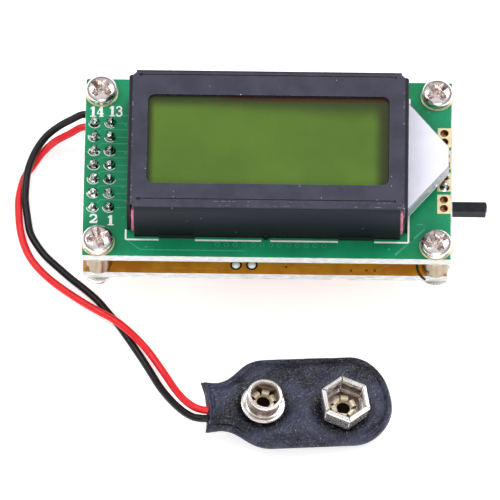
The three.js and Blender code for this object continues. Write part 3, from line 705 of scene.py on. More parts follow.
def print_marks():
    """White print: pin numbers and the outline round the bezel."""
    shape = Shape()
    for text, cx, cy, wide, high in NUMBERS:
        for index, glyph in enumerate(text):
            x0 = cx - wide * len(text) / 2 + index * wide
            for level, (path, half) in enumerate(GLYPHS[glyph]):
                line = [(x0 + px * wide, cy + (py - 0.5) * high) for px, py in path]
                shape.strip(line, half * wide, *film(BOARD_TOP, 0.018 + 0.003 * level))
    left, right, front, rear = -24.97, 19.35, -13.0, 12.9
    lines = [((left, front), (FEET[0][0], front)), ((FEET[0][1], front), (-3.7, front)),
             ((-2.3, front), (FEET[1][0], front)), ((FEET[1][1], front), (right, front)),
             ((left, front), (left, -11.25)), ((right, front), (right, rear)), ((left, rear), (right, rear))]
    for level, line in enumerate(lines):
        shape.strip(line, 0.14, *film(BOARD_TOP, 0.018 + 0.002 * (level % 3)))
    shape.strip([(-24.0, -13.025), (-21.6, -13.025)], 0.075, *film(BOARD_TOP, 0.02))
    piece("printed_marks", shape, WHITE_INK)


def copper_lines():
    """Tracks under the mask, which lift it by a hair."""
    shape = Shape()
    left, right = PINS[0][0], PINS[7][0]
    for _, y in PINS[:7]:
        shape.strip([(right + 0.9, y - 0.1), (-24.75, y - 0.1)], 0.07, *film(BOARD_TOP, 0.012))
        shape.strip([(left + 0.6, y + 0.7), (left + 1.15, y + 1.27), (-24.7, y + 1.27)], 0.07,
                    *film(BOARD_TOP, 0.014))
    for line, half in (([(-24.6, -13.3), (-22.6, -14.8), (-6, -14.8)], 0.1),
                       ([(17.3, -15.3), (21.9, -10.5)], 0.12), ([(20.6, -9.7), (21.6, -9.7)], 0.09),
                       ([(-31, -12), (-31, -15)], 0.07), ([(20.2, -12.2), (17.2, -15.1)], 0.08)):
        shape.strip(line, half, *film(BOARD_TOP, 0.012))
    for x in VIA_XS:
        shape.washer((x, VIA_Y), (0.4, 18), (0.29, 18), *film(BOARD_TOP, 0.012))
    for spot in ((-25.4, 7.6), (-25.3, 2.5), (-25.6, -3.6), (-25.4, -9.0), (-25.1, -6.2), (21.2, -13.0),
                 (-21.7, -14.3), (16.3, -14.2), (22.4, 10.6)):
        shape.washer(spot, (0.2, 12), (0.08, 8), *film(BOARD_TOP, 0.016))
    piece("copper_lines", shape, GREEN_LINE)


def gold_pads():
    """Rings under the screw heads and spacers, and the four double pads at the right edge."""
    shape = Shape()
    for spot in SCREWS:
        for z, side in ((BOARD_TOP, 1), (BOARD_UNDER, -1)):
            shape.washer(spot, (2.62, 40), (1.36, 24), *film(z, 0.03, side))
    for index, y in enumerate(PAD_YS):
        outline = rectangle((PAD_X[0], y - 1.72), (PAD_X[1], y + 1.72), 0.08)
        rings = [circle(0.66, 20, spot) for spot in PAD_HOLES[2 * index:2 * index + 2]]
        shape.plate([outline, *rings], *film(BOARD_TOP, 0.035))
    piece("gold_pads", shape, GOLD_PAD)


def hole_rims():
    """Plated barrels of the eight pad holes: a brown wall with a bright lip."""
    shape = Shape()
    for x, y in PAD_HOLES:
        shape.lathe([(0.66, 0.04), (0.6, 0.045), (0.56, -0.1), (0.55, -1.55), (0.62, -1.6), (0.64, -0.4)],
                    (x, y, BOARD_TOP), 20, closed=True)
    piece("hole_rims", shape, PLATED)


def solder_cone(shape, place, lift, foot, tip, lean, sides=16):
    """An uneven fillet that climbs a pin: foot and tip are radii, lean is an offset of the top."""
    lumps = [RNG.uniform(0.86, 1.1) for _ in range(5)]
    phase = RNG.uniform(0, TAU)
    x, y, z = place
    rings = []
    for h, r in ((-0.02, foot), (0.06, foot * 0.97), (0.2, foot * 0.8), (0.42, foot * 0.62),
                 (0.68, tip * 1.25), (0.88, tip * 1.02), (1.0, tip * 0.6)):
        ring = []
        for i in range(sides):
            a = TAU * i / sides
            wave = 0.13 * math.sin(2 * a + phase) * min(1, h * 3) + 0.09 * math.sin(3 * a + 2 * phase) * h
            reach = r * (1 + wave) * (lumps[i * 5 // sides] * 0.35 + 0.65)
            ring.append((x + lean[0] * h * h + reach * math.cos(a), y + lean[1] * h * h + reach * math.sin(a),
                         z + h * lift))
        rings.append(ring)
    shape.loft(rings)


def header_joints():
    """Solder round the pins above and below the stack, and pale arcs on one side of their pads as painted
    highlights.
    """
    joints, arcs = Shape(), Shape()
    for x, y in PINS:
        lean = (RNG.uniform(-0.12, 0.16), RNG.uniform(-0.1, 0.14))
        lift, foot, tip = RNG.uniform(0.85, 1.02), RNG.uniform(0.84, 0.93), RNG.uniform(0.38, 0.5)
        solder_cone(joints, (x, y, BOARD_TOP + 0.02), lift, foot, tip, lean)
        solder_cone(joints, (x, y, LOWER_UNDER - 0.02), -RNG.uniform(0.7, 0.9), 0.82, 0.4, lean)
        # painted highlights: pale arcs on the lower-left side of each pad, in the white ink material
        for z, side in ((BOARD_TOP, 1), (LOWER_UNDER, -1)):
            start = RNG.uniform(165, 195)
            turns = [start + 12 * i for i in range(RNG.randint(10, 14))]
            arcs.strip(on_circle(0.98, turns, (x, y)), 0.055, *film(z, 0.02, side))
    piece("header_joints", joints, SOLDER, angle=60)
    piece("header_pad_highlights", arcs, WHITE_INK)


def header_strip():
    """Black carrier in seven notched cells, with square pins whose ends are chamfered."""
    low, high = span("pin_header")
    base = (BOARD_UNDER - 2.55, BOARD_UNDER - 0.05)
    strip, pins = Shape(), Shape()
    half, cut = PITCH / 2, 0.35
    cell = [(-PITCH + cut, -half), (PITCH - cut, -half), (PITCH, -half + cut), (PITCH, half - cut),
            (PITCH - cut, half), (-PITCH + cut, half), (-PITCH, half - cut), (-PITCH, -half + cut)]
    for _, y in PINS[:7]:
        strip.prism([(header_x + px, y + py * 0.999) for px, py in cell], *base)
    strip.box((header_x - 1.8, low[1] + 0.4, base[0] + 0.2), (header_x + 1.8, high[1] - 0.4, base[1] - 0.2))
    ends = ((low[2], 0.18), (low[2] + 0.3, 0.32), (high[2] - 0.3, 0.32), (high[2], 0.2))
    for x, y in PINS:
        pins.loft([[(x - half, y - half, z), (x + half, y - half, z), (x + half, y + half, z),
                    (x - half, y + half, z)] for z, half in ends])
    piece("header_carrier", strip, BLACK_PLASTIC, bevel=0.06, replaces=["pin_header"])
    piece("header_pins", pins, SOLDER, bevel=0.05)


# ---- bezel ----

SHEET = 0.5  # thickness of the steel
FOLD_R = 0.65
CORNER_GAP = 1.15  # open corner, from the end of a flap to the outer face of the next one
GROOVE_YS = (11.85, -10.5)


def flap(shape, out, half, reach):
    """One side of the bezel, which comes down over a rounded fold; returns the line where the fold starts.

    out is the way that it faces, half is half of its length and reach its distance from the middle.
    """
    top, bottom = bezel_high[2], BOARD_TOP + 0.05
    bend = [math.pi / 2 * i / 5 for i in range(6)]
    profile = [(reach - FOLD_R * (1 - math.sin(a)), top - FOLD_R * (1 - math.cos(a))) for a in bend]
    profile += [(reach, top - FOLD_R - (top - FOLD_R - bottom) * i / 4) for i in range(1, 5)]
    count, wide = 22, len(profile)
    along = [(half - CORNER_GAP) * (2 * i / count - 1) for i in range(count + 1)]
    rows = [[(BEZEL_X + away * out[0] - t * out[1], BEZEL_Y + away * out[1] + t * out[0], z)
             for away, z in profile] for t in along]
    cells = [(i, j) for i in range(count) for j in range(wide - 1)]
    if out == (1, 0):  # the light guide comes out here
        guide_half, guide_top = 9.5, span("light_guide")[1][2] + 0.45
        cells = [(i, j) for i, j in cells if min(abs(along[i]), abs(along[i + 1])) >= guide_half
                 or profile[j + 1][1] >= guide_top]
    starts = [(i * wide + j, (i + 1) * wide + j) for i, j in cells]
    shape.add([p for row in rows for p in row], [[a, b, b + 1, a + 1] for a, b in starts])
    return [row[0][:2] for row in rows]


def bezel():
    """Folded sheet: one face with a window, four side flaps and open corners."""
    half_x, half_y = bezel_high[0] - BEZEL_X, bezel_high[1] - BEZEL_Y
    shape, rim = Shape(), []
    for out, half, reach in (((0, -1), half_x, half_y), ((1, 0), half_y, half_x),
                             ((0, 1), half_x, half_y), ((-1, 0), half_y, half_x)):
        rim += flap(shape, out, half, reach)
    opening = rectangle((window[0], window[2]), (window[1], window[3]), 1.2, step=1.5, arc=6)
    shape.sheet([rim, opening], bezel_high[2])
    made = piece("bezel_look", shape, BLACK_PAINT, replaces=["bezel"], angle=30)
    solid = made.modifiers.new("sheet", "SOLIDIFY")
    solid.thickness = SHEET * MM
    solid.offset = -1
    return made


def bezel_details(made):
    """Scribed lines along the folds, feet that flare at the board, and tongues through its slots."""
    top = bezel_high[2]
    grooves, feet, tongues = Shape(), Shape(), Shape()
    for y in GROOVE_YS:
        section = [(-0.12, 0.05), (0.12, 0.05), (0.04, -0.12), (-0.04, -0.12)]
        grooves.loft([[(x, y + a, top + b) for a, b in section] for x in (-22.8, 16.8)])
        grooves.lathe([(0.34, 0.05), (0.26, -0.18)], (-22.95, y - 0.1, top), 12)
        grooves.lathe([(0.26, 0.05), (0.2, -0.12)], (17.1, y - 0.1, top), 10)
    section = [(12.3, 0.5), (12.72, 0.5), (12.95, 0.18), (13.0, 0.06), (12.3, 0.06)]
    for side in (-1, 1):
        for x0, x1 in FEET:
            feet.loft([[(x, BEZEL_Y + side * y, BOARD_TOP + z) for y, z in section] for x in (x0, x1)])
            x, y = (x0 + x1) / 2, BEZEL_Y + side * 12.45
            tongues.box((x - 1, y - 0.25, bezel_low[2]), (x + 1, y + 0.25, BOARD_TOP + 0.5))
    bump = (-3.0, bezel_low[1] + 0.25, BOARD_TOP)
    feet.lathe([(0.62, 0.04), (0.6, 0.55), (0.48, 0.85), (0.2, 0.95)], bump, 18)
    carve(made, grooves, GROOVE_PAINT)
    soften(made, 0.05)
    piece("bezel_feet", feet, BLACK_PAINT, bevel=0.05)
    piece("bezel_tongues", tongues, BLACK_PAINT, bevel=0.08)


# ---- display cell and light guide ----

def display_cell():
    """Film and two panes, and the contact strips, which have a slight waist."""
    level, waisted = (0, 0), (0.1, 0, 0, 0.06, 0, 0, 0.1)
    for node, name, material, slot, edge, corner, insets in (
            ("front_polariser", "front_film", DISPLAY_FILM, "display_face", 0.03, 0.2, level),
            ("front_glass", "front_pane", GLASS, "display_glass", 0.08, 1.5, level),
            ("rear_glass", "rear_pane", GLASS, "display_glass", 0.08, 1.5, level),
            ("contact_strip_front", "front_rubber", PINK, "pink_contact_rubber", 0.12, 0.2, waisted),
            ("contact_strip_rear", "rear_rubber", PINK, "pink_contact_rubber", 0.12, 0.2, waisted)):
        low, high = span(node)
        cx, cy, _ = middle(node)
        outline = rectangle(low, high, corner, step=2)
        rings = []
        for i, d in enumerate(insets):
            z = low[2] + (high[2] - low[2]) * i / (len(insets) - 1)
            wide, deep = 1 - d / 21, 1 - d / 0.8
            rings.append([(cx + (x - cx) * wide, cy + (y - cy) * deep, z) for x, y in outline])
        piece(name, Shape().loft(rings), material, bevel=edge, replaces=[node])


def light_guide():
    """Acrylic wedge between two white films; the upper film stops just inside the acrylic's edge."""
    low, high = span("light_guide")
    root, tip = bezel_high[0] + 0.1, high[0]
    y = middle("light_guide")[1]
    outline, inner = ([(low[0], y - half), (root - trim, y - half), (tip - trim, y - end),
                       (tip - trim, y + end), (root - trim, y + half), (low[0], y + half)]
                      for half, end, trim in ((9.6, 1.76, 0), (9.42, 1.68, 0.1)))
    piece("guide_acrylic", Shape().prism(outline, low[2] + 0.12, high[2] - 0.1), ACRYLIC,
          bevel=0.1, replaces=["light_guide"])
    films = Shape().prism(inner, high[2] - 0.11, high[2]).prism(outline, low[2], low[2] + 0.13)
    piece("guide_films", films, FILM_WHITE, bevel=0.03)


def backlight_led():
    low, high = span("backlight_led")
    y = middle("backlight_led")[1]
    body = Shape().box((low[0], low[1] + 0.5, low[2] + 0.12), (high[0], high[1] - 0.5, high[2]))
    piece("led_body", body, WHITE_PLASTIC, bevel=0.12, replaces=["backlight_led"])
    metal = Shape()
    for side in (-1, 1):
        path = [(24.2, y + side * 0.9, 17.7), (24.5, y + side * 1.25, 17.3), (24.85, side * 2.1, 17.0),
                (25.0, side * 2.9, 16.95)]
        metal.tube(smooth_path(path, 4), 0.24, 8)
        solder_cone(metal, (24.95, side * 2.85, BOARD_TOP + 0.02), 0.75, 0.85, 0.4, (0.05, side * -0.1), 18)
        metal.tube([(25.55, side * 0.5, 17.0), (25.55, side * 1.4, 17.0)], 0.22, 8)
    piece("led_legs", metal, SOLDER, angle=60)


# ---- fasteners ----

SCREW_TURNS = {"top": (0.35, 0.5, 0.85, 0.7), "bottom": (0.2, 1.1, 0.6, 1.35)}


def screw_mesh():
    """Pan head with a cross recess whose wings narrow with depth."""
    head = [(0.3, -3.7), (1.0, -3.7), (1.15, -3.5), (1.15, 0), (2.3, 0), (2.46, 0.1), (2.5, 0.3), (2.5, 0.75),
            (2.44, 1.05), (2.26, 1.32), (1.95, 1.53), (1.5, 1.68), (0.9, 1.77), (0.3, 1.8)]
    wings = Shape()
    rings = []
    for z, long, wide in ((2.2, 2.3, 0.86), (1.55, 1.85, 0.66), (1.1, 1.25, 0.42), (0.55, 0.65, 0.24)):
        half = [(-long, -wide * 0.72), (-long * 0.35, -wide), (long * 0.35, -wide), (long, -wide * 0.72)]
        rings.append([(x, y, z) for x, y in half + [(-x, -y) for x, y in half]])
    wings.loft(rings)
    cutter = Shape().join(wings).join(wings, rotation(math.pi / 2, "Z"))
    cutter.lathe([(0.95, 2.1), (0.8, 1.3), (0.42, 0.6), (0.12, 0.35)], sides=16)
    return Shape().lathe(head, sides=56), cutter


def screws():
    """Eight heads that share one mesh, each turned its own way."""
    head, recess = screw_mesh()
    first = add_object("screw", make_mesh("screw", head, [NICKEL]))
    first.data.set_sharp_from_angle(angle=math.radians(38))
    carve(first, recess, RECESS_SHADE)
    for side, z, flip in (("top", BOARD_TOP + 0.05, 0), ("bottom", LOWER_UNDER - 0.05, math.pi)):
        for corner, turn in zip(CORNERS, SCREW_TURNS[side]):
            node = f"{side}_screw_{corner}"
            made = add_object(f"{node}_look", first.data)
            place = Vector((*middle(node)[:2], z)) * MM
            made.matrix_world = Matrix.Translation(place) @ rotation(flip, "X") @ rotation(turn, "Z")
            soften(made, 0.05)
            settle(made, replaces=[node])
    bpy.data.objects.remove(first)


def spacers():
    """Turned spacers with a fine groove near the foot."""
    for corner in CORNERS:
        node = f"spacer_{corner}"
        (_, _, z0), (_, _, z1) = span(node)
        x, y, _ = middle(node)
        section = [(1.36, z0), (2.05, z0), (2.2, z0 + 0.15), (2.2, z0 + 0.6), (2.16, z0 + 0.64),
                   (2.2, z0 + 0.68), (2.2, z1 - 0.15), (2.05, z1), (1.36, z1)]
        piece(f"{node}_look", Shape().lathe(section, (x, y, 0), 40, closed=True), TURNED,
              bevel=0.04, replaces=[node])


# ---- upper side of the measuring board ----

THROUGH_JOINTS = [(-7.67, -13.68), (-5.19, -13.65)]


def lower_board_details():
    joints, rings, clear, lines = Shape(), Shape(), Shape(), Shape()
    for x, y in THROUGH_JOINTS:
        rings.washer((x, y), (0.92, 28), (0.5, 20), *film(LOWER_TOP, 0.025))
        joints.lathe([(0.66, 0.0), (0.62, 0.16), (0.48, 0.36), (0.26, 0.48), (0.06, 0.52)],
                     (x, y, LOWER_TOP), 20)
    for spot, (start, end) in zip(SCREWS, ((20, 75), (105, 238), (-75, -20), (195, 255))):
        clear.strip(on_circle(2.9, range(start, end, 6), spot), 0.2, *film(LOWER_TOP, 0.015))
    outer, inner = rectangle((-0.6, -10.6), (7.3, -7.3), 0.6), rectangle((-0.4, -10.4), (7.1, -7.5), 0.5)
    clear.plate([outer, inner], *film(LOWER_TOP, 0.012))
    for spot in ((10.4, -14.45), (12.85, -14.4), (14.15, -14.4), (0.2, -13.95)):
        clear.washer(spot, (0.2, 12), (0.06, 8), *film(LOWER_TOP, 0.018))
    lines.strip([(0.1, -13.9), (0.1, -13.2)], 0.1, *film(LOWER_TOP, 0.014))
    for line in ([(0.2, -13.95), (6.9, -13.95), (7.3, -13.5)], [(9.0, -14.4), (14.6, -14.4), (17, -13)],
                 [(-20, -14.3), (-9, -14.3)]):
        lines.strip(line, 0.08, *film(LOWER_TOP, 0.012))
    z0, z1 = film(LOWER_TOP, 0.01)
    olive = Shape().box((lower_low[0] + 0.25, lower_low[1] + 0.25, z0), (-27.4, -14.6, z1))
    piece("olive_corner", olive, OLIVE_MASK)
    piece("lower_joints", joints, BRIGHT_PAINTED_SOLDER)
    piece("lower_rings", rings, EPOXY)
    piece("lower_clearances", clear, DARK_CLEARANCE)
    piece("lower_tracks", lines, AMBER_LINE)


# ---- parts that hang under the measuring board ----

HANG = LOWER_UNDER - 0.05
INTO_BOARD = HANG + 0.4  # where the leads end, inside the board
WIRE = 0.24
chip_x, chip_y, _ = middle("microcontroller")
CHIP_XS = [chip_x + (i - 6.5) * PITCH for i in range(14)]
CHIP_ROW = 3.81
DISC_LEGS, CAN_LEGS, CRYSTAL_LEGS, RESISTOR_LEGS = 1.27, 1.25, 2.44, 5.08  # from the middle to a leg
REGULATOR_Y = 12  # legs of the regulator, under the middle of its round side
CAN_LEGS_Y = -13.52  # legs of the output capacitor
CAN_R = 2.5
PAD = (0.95, 20)  # radius and sides of a pad under the board
DISCS = ("ceramic_capacitor_left", "ceramic_capacitor_right")
RESISTORS = ("resistor_1", "resistor_2", "resistor_3")
BAND_ORDER = ((0, 1, 1, 2, 0), (4, 2, 1, 3, 0), (0, 1, 3, 2, 0))  # rings of the three resistors


def across(place, turn=0.0):
    """Lays a piece that was turned about Z along X, or along Y with a quarter turn."""
    return Matrix.Translation(place) @ rotation(turn, "Z") @ rotation(math.pi / 2, "Y")


def lead_spots():
    """Where leads go through the measuring board."""
    spots = [(x, chip_y + side * CHIP_ROW) for x in CHIP_XS for side in (-1, 1)]
    spots += [(middle("voltage_regulator")[0] + step, REGULATOR_Y) for step in (-1.27, 0, 1.27)]
    for node, steps in (("crystal", (-CRYSTAL_LEGS, CRYSTAL_LEGS)), ("input_capacitor", (-1, 1)),
                        *((node, (-DISC_LEGS, DISC_LEGS)) for node in DISCS),
                        ("test_socket", (-PITCH, 0, PITCH)), ("trimmer_body", (-PITCH, PITCH)),
                        *((node, (-RESISTOR_LEGS, RESISTOR_LEGS)) for node in RESISTORS)):
        x, y, _ = middle(node)
        spots += [(x + step, y) for step in steps]
    x, y = span("switch_base")[0][0] + 0.2, middle("switch_base")[1]
    return [*spots, *((x, y + step) for step in (-2.5, 0, 2.5)), RED_ROUTE[0][:2], BLACK_ROUTE[0][:2]]


def board_joints():
    """Solder on the upper side and pads on the lower side."""
    solder, pads = Shape(), Shape()
    pad_film = film(LOWER_UNDER, 0.03, -1)
    can_x = middle("output_capacitor")[0]
    for x in (can_x - CAN_LEGS, can_x + CAN_LEGS):
        pads.washer((x, CAN_LEGS_Y), PAD, (0.4, 12), *pad_film)
    for x, y in lead_spots():
        lift, foot = RNG.uniform(0.6, 0.85), RNG.uniform(0.72, 0.82)
        lean = (RNG.uniform(-0.06, 0.06), RNG.uniform(-0.06, 0.06))
        solder_cone(solder, (x, y, LOWER_TOP + 0.02), lift, foot, 0.34, lean, 12)
        pads.washer((x, y), PAD, (0.5, 12), *pad_film)
    piece("board_solder", solder, SOLDER, angle=60)
    piece("board_pads", pads, SOLDER)


def board_tracks():
    """Tracks on the lower side, from the header to the chip, between legs of the chip, and at resistors."""
    tracks = Shape()
    under = film(LOWER_UNDER, 0.02, -1)
    front, rear = chip_y - CHIP_ROW, chip_y + CHIP_ROW
    for index, x in enumerate(CHIP_XS[:7]):
        pin_x, pin_y = PINS[7 + index]
        bend_x, bend_y = -26.2 + 0.45 * index, -2.6 + 0.45 * index
        tracks.strip([(pin_x + 0.9, pin_y), (bend_x, pin_y), (bend_x + 0.6, bend_y), (x - 0.4, bend_y),
                      (x, front - 0.9)], 0.13, *under)
    for first, last in ((1, 3), (5, 8), (9, 12)):
        x0, x1 = CHIP_XS[first], CHIP_XS[last]
        tracks.strip([(x0, rear + 0.8), (x0 + 0.5, rear + 1.4), (x1 - 0.5, rear + 1.4), (x1, rear + 0.8)],
                     0.16, *under)
    for node in RESISTORS:
        x, y, _ = middle(node)
        tracks.strip([(x + 6, y), (x + 7.5, y + 0.8), (x + 7.5, y + 2.4)], 0.2, *under)
    piece("board_tracks", tracks, AMBER_LINE)


def chip():
    """Moulded body with drafted sides, notch and dimple, and formed legs."""
    half_x, half_y = 17.35, 3.25
    rings = []
    for z, inset in ((0.0, 0.22), (1.55, 0.02), (1.58, 0.0), (1.82, 0.0), (1.85, 0.02), (3.4, 0.2)):
        wide, deep = half_x - inset, half_y - inset
        outline = rectangle((chip_x - wide, chip_y - deep), (chip_x + wide, chip_y + deep), 0.1)
        rings.append([(x, y, z) for x, y in outline])
    body = piece("chip_body", Shape().loft(rings), BLACK_PLASTIC,
                 replaces=["microcontroller"])
    marks = Shape().lathe([(0.95, -0.3), (0.85, 0.45)], (chip_x - half_x + 0.2, chip_y, 0), 24)
    marks.lathe([(0.6, -0.3), (0.5, 0.12)], (chip_x - half_x + 1.8, chip_y - 2.0, 0), 20)
    carve(body, marks)
    soften(body, 0.05)
    section = [(half_y - 0.3, 1.7), (3.6, 1.7), (3.78, 1.76), (3.84, 1.95), (3.84, 5.3)]
    leg, legs = Shape().fold(section, 0.25, lambda reach: 0.7), Shape()
    for x in CHIP_XS:
        for side in (-1, 1):
            legs.join(leg, Matrix.Translation((x, chip_y, 0)) @ rotation(side * math.pi / 2, "Z"))
    piece("chip_legs", legs, TIN, bevel=0.04)


def chip_socket():
    """Two rails with a pocket and a spring contact for each leg, joined by bars."""
    (x0, y0, z0), (x1, y1, z1) = span("microcontroller_socket")
    body, pockets, contacts = Shape(), Shape(), Shape()
    half_x, half_y = (x1 - x0) / 2, (y1 - y0) / 2
    for side in (-1, 1):
        rail_y = chip_y + side * (half_y - 1.25)
        body.box((x0, rail_y - 1.25, z0), (x1, rail_y + 1.25, z1))
        y = chip_y + side * CHIP_ROW
        for x in CHIP_XS:
            pockets.box((x - 0.85, y - 0.45, z0 - 0.5), (x + 0.85, y + 0.45, z0 + 1.3))
            for face in (y - 0.32, y + 0.32):
                contacts.box((x - 0.7, face - 0.06, z0 + 0.25), (x + 0.7, face + 0.06, z0 + 1.4))
    for x in (-5.9, 5.9, 0.75 - half_x, half_x - 0.75):
        body.box((chip_x + x - 0.75, chip_y - 2.8, z0 + 0.6), (chip_x + x + 0.75, chip_y + 2.8, z1 - 0.9))
    made = piece("socket_rails", body, BLACK_PLASTIC, replaces=["microcontroller_socket"])
    carve(made, pockets)
    soften(made, 0.06)
    piece("socket_contacts", contacts, TIN)


def resistors():
    """Dipped bodies with five colour rings, on bent wires."""
    end = [(0.3, 3.18), (0.8, 3.14), (1.04, 2.98), (1.1, 2.7), (1.07, 2.35), (0.93, 2.02), (0.85, 1.75)]
    section = [(r, -h) for r, h in end] + [(r, h) for r, h in end[::-1]]
    z = HANG - 1.3
    for node, order in zip(RESISTORS, BAND_ORDER):
        x, y, _ = middle(node)
        lay = across((x, y, z))
        body = Shape().join(Shape().lathe(section, sides=28), lay)
        piece(f"{node}_body", body, LACQUER, replaces=[node])
        rings, wires = Shape(), Shape()
        for mark, at in zip(order, (-2.6, -1.25, -0.45, 0.35, 2.6)):
            r = 1.115 if abs(at) > 2 else 0.865
            rings.lathe([(r - 0.1, at - 0.2), (r, at - 0.2), (r, at + 0.2), (r - 0.1, at + 0.2)], sides=28,
                        mark=mark, closed=True)
        for side in (-1, 1):
            path = ((RESISTOR_LEGS, INTO_BOARD), (RESISTOR_LEGS, z + 0.45), (5.0, z + 0.15), (4.7, z),
                    (3.0, z))
            wires.tube([(x + side * reach, y, height) for reach, height in path], WIRE)
        piece(f"{node}_rings", Shape().join(rings, lay), BANDS)
        piece(f"{node}_wires", wires, TIN)


def can(name, node, matrix, length, legs):
    """Sleeved capacitor: crimped groove, rubber seal, scored bare top and pale stripe."""
    sleeve = [(0.4, 0.25), (2.2, 0.2), (2.42, 0.34), (CAN_R, 0.6), (CAN_R, 1.0), (2.36, 1.25), (2.36, 1.45),
              (CAN_R, 1.7), (CAN_R, length - 0.35), (2.42, length - 0.08), (2.2, length - 0.04),
              (2.05, length - 0.12)]
    cap = [(0.3, -0.2), (0.3, -0.06), (1.9, -0.06), (2.1, -0.14), (2.1, -0.5), (0.3, -0.5)]
    body = Shape().lathe(sleeve, sides=40, closed=True)
    body.lathe(cap, (0, 0, length), 40, mark=2, closed=True)
    body.lathe([(0.3, 0.0), (1.7, 0.0), (1.9, 0.25), (0.3, 0.3)], sides=32, mark=3, closed=True)
    turns = [math.degrees(0.1 * i - 0.35) for i in range(8)]
    stripe = on_circle(CAN_R + 0.015, turns) + on_circle(CAN_R - 0.1, turns[::-1])
    body.prism(stripe, 1.8, length - 0.5, mark=1)
    for h in range(3):
        body.box((2.45, -0.12, 2.4 + 1.6 * h), (2.54, 0.12, 3.1 + 1.6 * h))
    made = piece(f"{name}_body", Shape().join(body, matrix), [SLEEVE, SLEEVE_STRIPE, TIN, BLACK_PLASTIC],
                 replaces=[node])
    score, vent = Shape().box((0.0, -0.06, length - 0.13), (1.6, 0.06, length + 0.3)), Shape()
    for turn in range(3):
        vent.join(score, matrix @ rotation(TAU * turn / 3, "Z"))
    carve(made, vent)
    wires = Shape()
    for path in legs:
        wires.tube(path, WIRE)
    piece(f"{name}_wires", wires, TIN)


def discs():
    """Dipped ceramic discs whose coat runs a little way down the legs."""
    side = [(0.1, -0.8), (0.9, -0.79), (1.5, -0.68), (1.85, -0.4)]
    section = side + [(2.0, 0.0)] + [(r, -h) for r, h in side[::-1]]
    for node in DISCS:
        x, y, _ = middle(node)
        body = Shape().join(Shape().lathe(section, sides=32), across((x, y, HANG - 2.9), math.pi / 2))
        wires = Shape()
        for dx in (-DISC_LEGS, DISC_LEGS):
            body.lathe([(0.5, -2.3), (0.4, -1.7), (0.31, -1.2), (0.27, -1.0)], (x + dx, y, HANG), 16)
            wires.tube([(x + dx, y, HANG - 1.6), (x + dx, y, INTO_BOARD)], WIRE)
        piece(f"{node}_body", body, CERAMIC, replaces=[node], angle=50)
        piece(f"{node}_wires", wires, TIN)


def capacitors():
    """One can upright and one lying down with bent legs."""
    x, y, _ = middle("input_capacitor")
    can("input_can", "input_capacitor", Matrix.Translation((x, y, HANG)) @ rotation(math.pi, "X"), 7.3,
        [[(x + dx, y, HANG - 0.3), (x + dx, y, INTO_BOARD)] for dx in (-1, 1)])
    x, z = middle("output_capacitor")[0], HANG - 2.6
    path = ((-11.7, z), (-13.1, z), (-13.4, z + 0.12), (CAN_LEGS_Y, z + 0.45), (CAN_LEGS_Y, INTO_BOARD))
    lying = Matrix.Translation((x, -11.9, z)) @ rotation(-math.pi / 2, "X")
    can("output_can", "output_capacitor", lying, 7.0,
        [[(x + dx, y, height) for y, height in path] for dx in (-CAN_LEGS, CAN_LEGS)])


def crystal():
    """Drawn can with a rolled top, a pinched flange and two legs in glass beads."""
    x, y, _ = middle("crystal")
    rings = []
    for z, inset in ((-3.5, 0.35), (-3.45, 0.15), (-3.3, 0.03), (-3.1, 0.0), (-0.95, 0.0), (-0.75, -0.12),
                     (-0.7, -0.38), (-0.55, -0.4), (-0.45, -0.38), (-0.42, 0.3)):
        wide, deep = 5.1 - inset, 1.85 - inset
        outline = rectangle((x - wide, y - deep), (x + wide, y + deep), 1.8 - inset, arc=8)
        rings.append([(px, py, HANG + z) for px, py in outline])
    piece("crystal_can", Shape().loft(rings), PLATE, replaces=["crystal"])
    legs = Shape()
    for dx in (-CRYSTAL_LEGS, CRYSTAL_LEGS):
        legs.tube([(x + dx, y, HANG - 0.6), (x + dx, y, INTO_BOARD)], WIRE)
        legs.lathe([(0.1, -0.5), (0.6, -0.46), (0.5, -0.3), (0.26, -0.26)], (x + dx, y, HANG), 16)
    piece("crystal_legs", legs, TIN)


def regulator():
    """Half-round moulding, drafted from its parting line, on three flat legs."""
    x, y = middle("voltage_regulator")[0], REGULATOR_Y
    turns = [-39.6 + 259.2 * i / 24 for i in range(25)]
    rings = []
    for z, radius in ((-6.6, 2.232), (-6.5, 2.304), (-4.5, 2.4), (-4.3, 2.4), (-2.05, 2.304), (-2.0, 2.256)):
        rings.append([(px, py, HANG + z) for px, py in on_circle(radius, turns, (x, y))])
    made = piece("regulator_body", Shape().loft(rings), BLACK_PLASTIC,
                 replaces=["voltage_regulator"])
    on_front = Matrix.Translation((x, y - 1.53, HANG - 5.2)) @ rotation(-math.pi / 2, "X")
    carve(made, Shape().join(Shape().lathe([(0.55, -0.4), (0.5, 0.12)], sides=20), on_front))
    soften(made, 0.06)
    legs = Shape()
    for dx in (-1.27, 0, 1.27):
        legs.box((x + dx - 0.22, y - 0.2, HANG - 2.2), (x + dx + 0.22, y + 0.2, HANG + 0.3))
    piece("regulator_legs", legs, TIN, bevel=0.05)


def driver_blob():
    """Poured epoxy over the display driver: an uneven dome."""
    x, y, _ = middle("driver_blob")
    z = BOARD_UNDER - 0.05
    rings = []
    for radius, drop in ((5.5, 0.0), (5.45, 0.1), (5.2, 0.4), (4.7, 0.7), (3.9, 0.98), (2.9, 1.16),
                         (1.7, 1.28), (0.5, 1.32)):
        ring = []
        for px, py in circle(radius, 48):
            swell = 1 + 0.06 * noise.noise(Vector((px * 0.3, py * 0.3, 5)))
            sag = drop * (1 + 0.08 * noise.noise(Vector((px, py, 2)) * 0.4))
            ring.append((x + px * swell, y + py * swell, z - sag))
        rings.append(ring)
    piece("driver_dome", Shape().loft(rings), EPOXY, replaces=["driver_blob"], angle=60)


# ---- switch lever ----

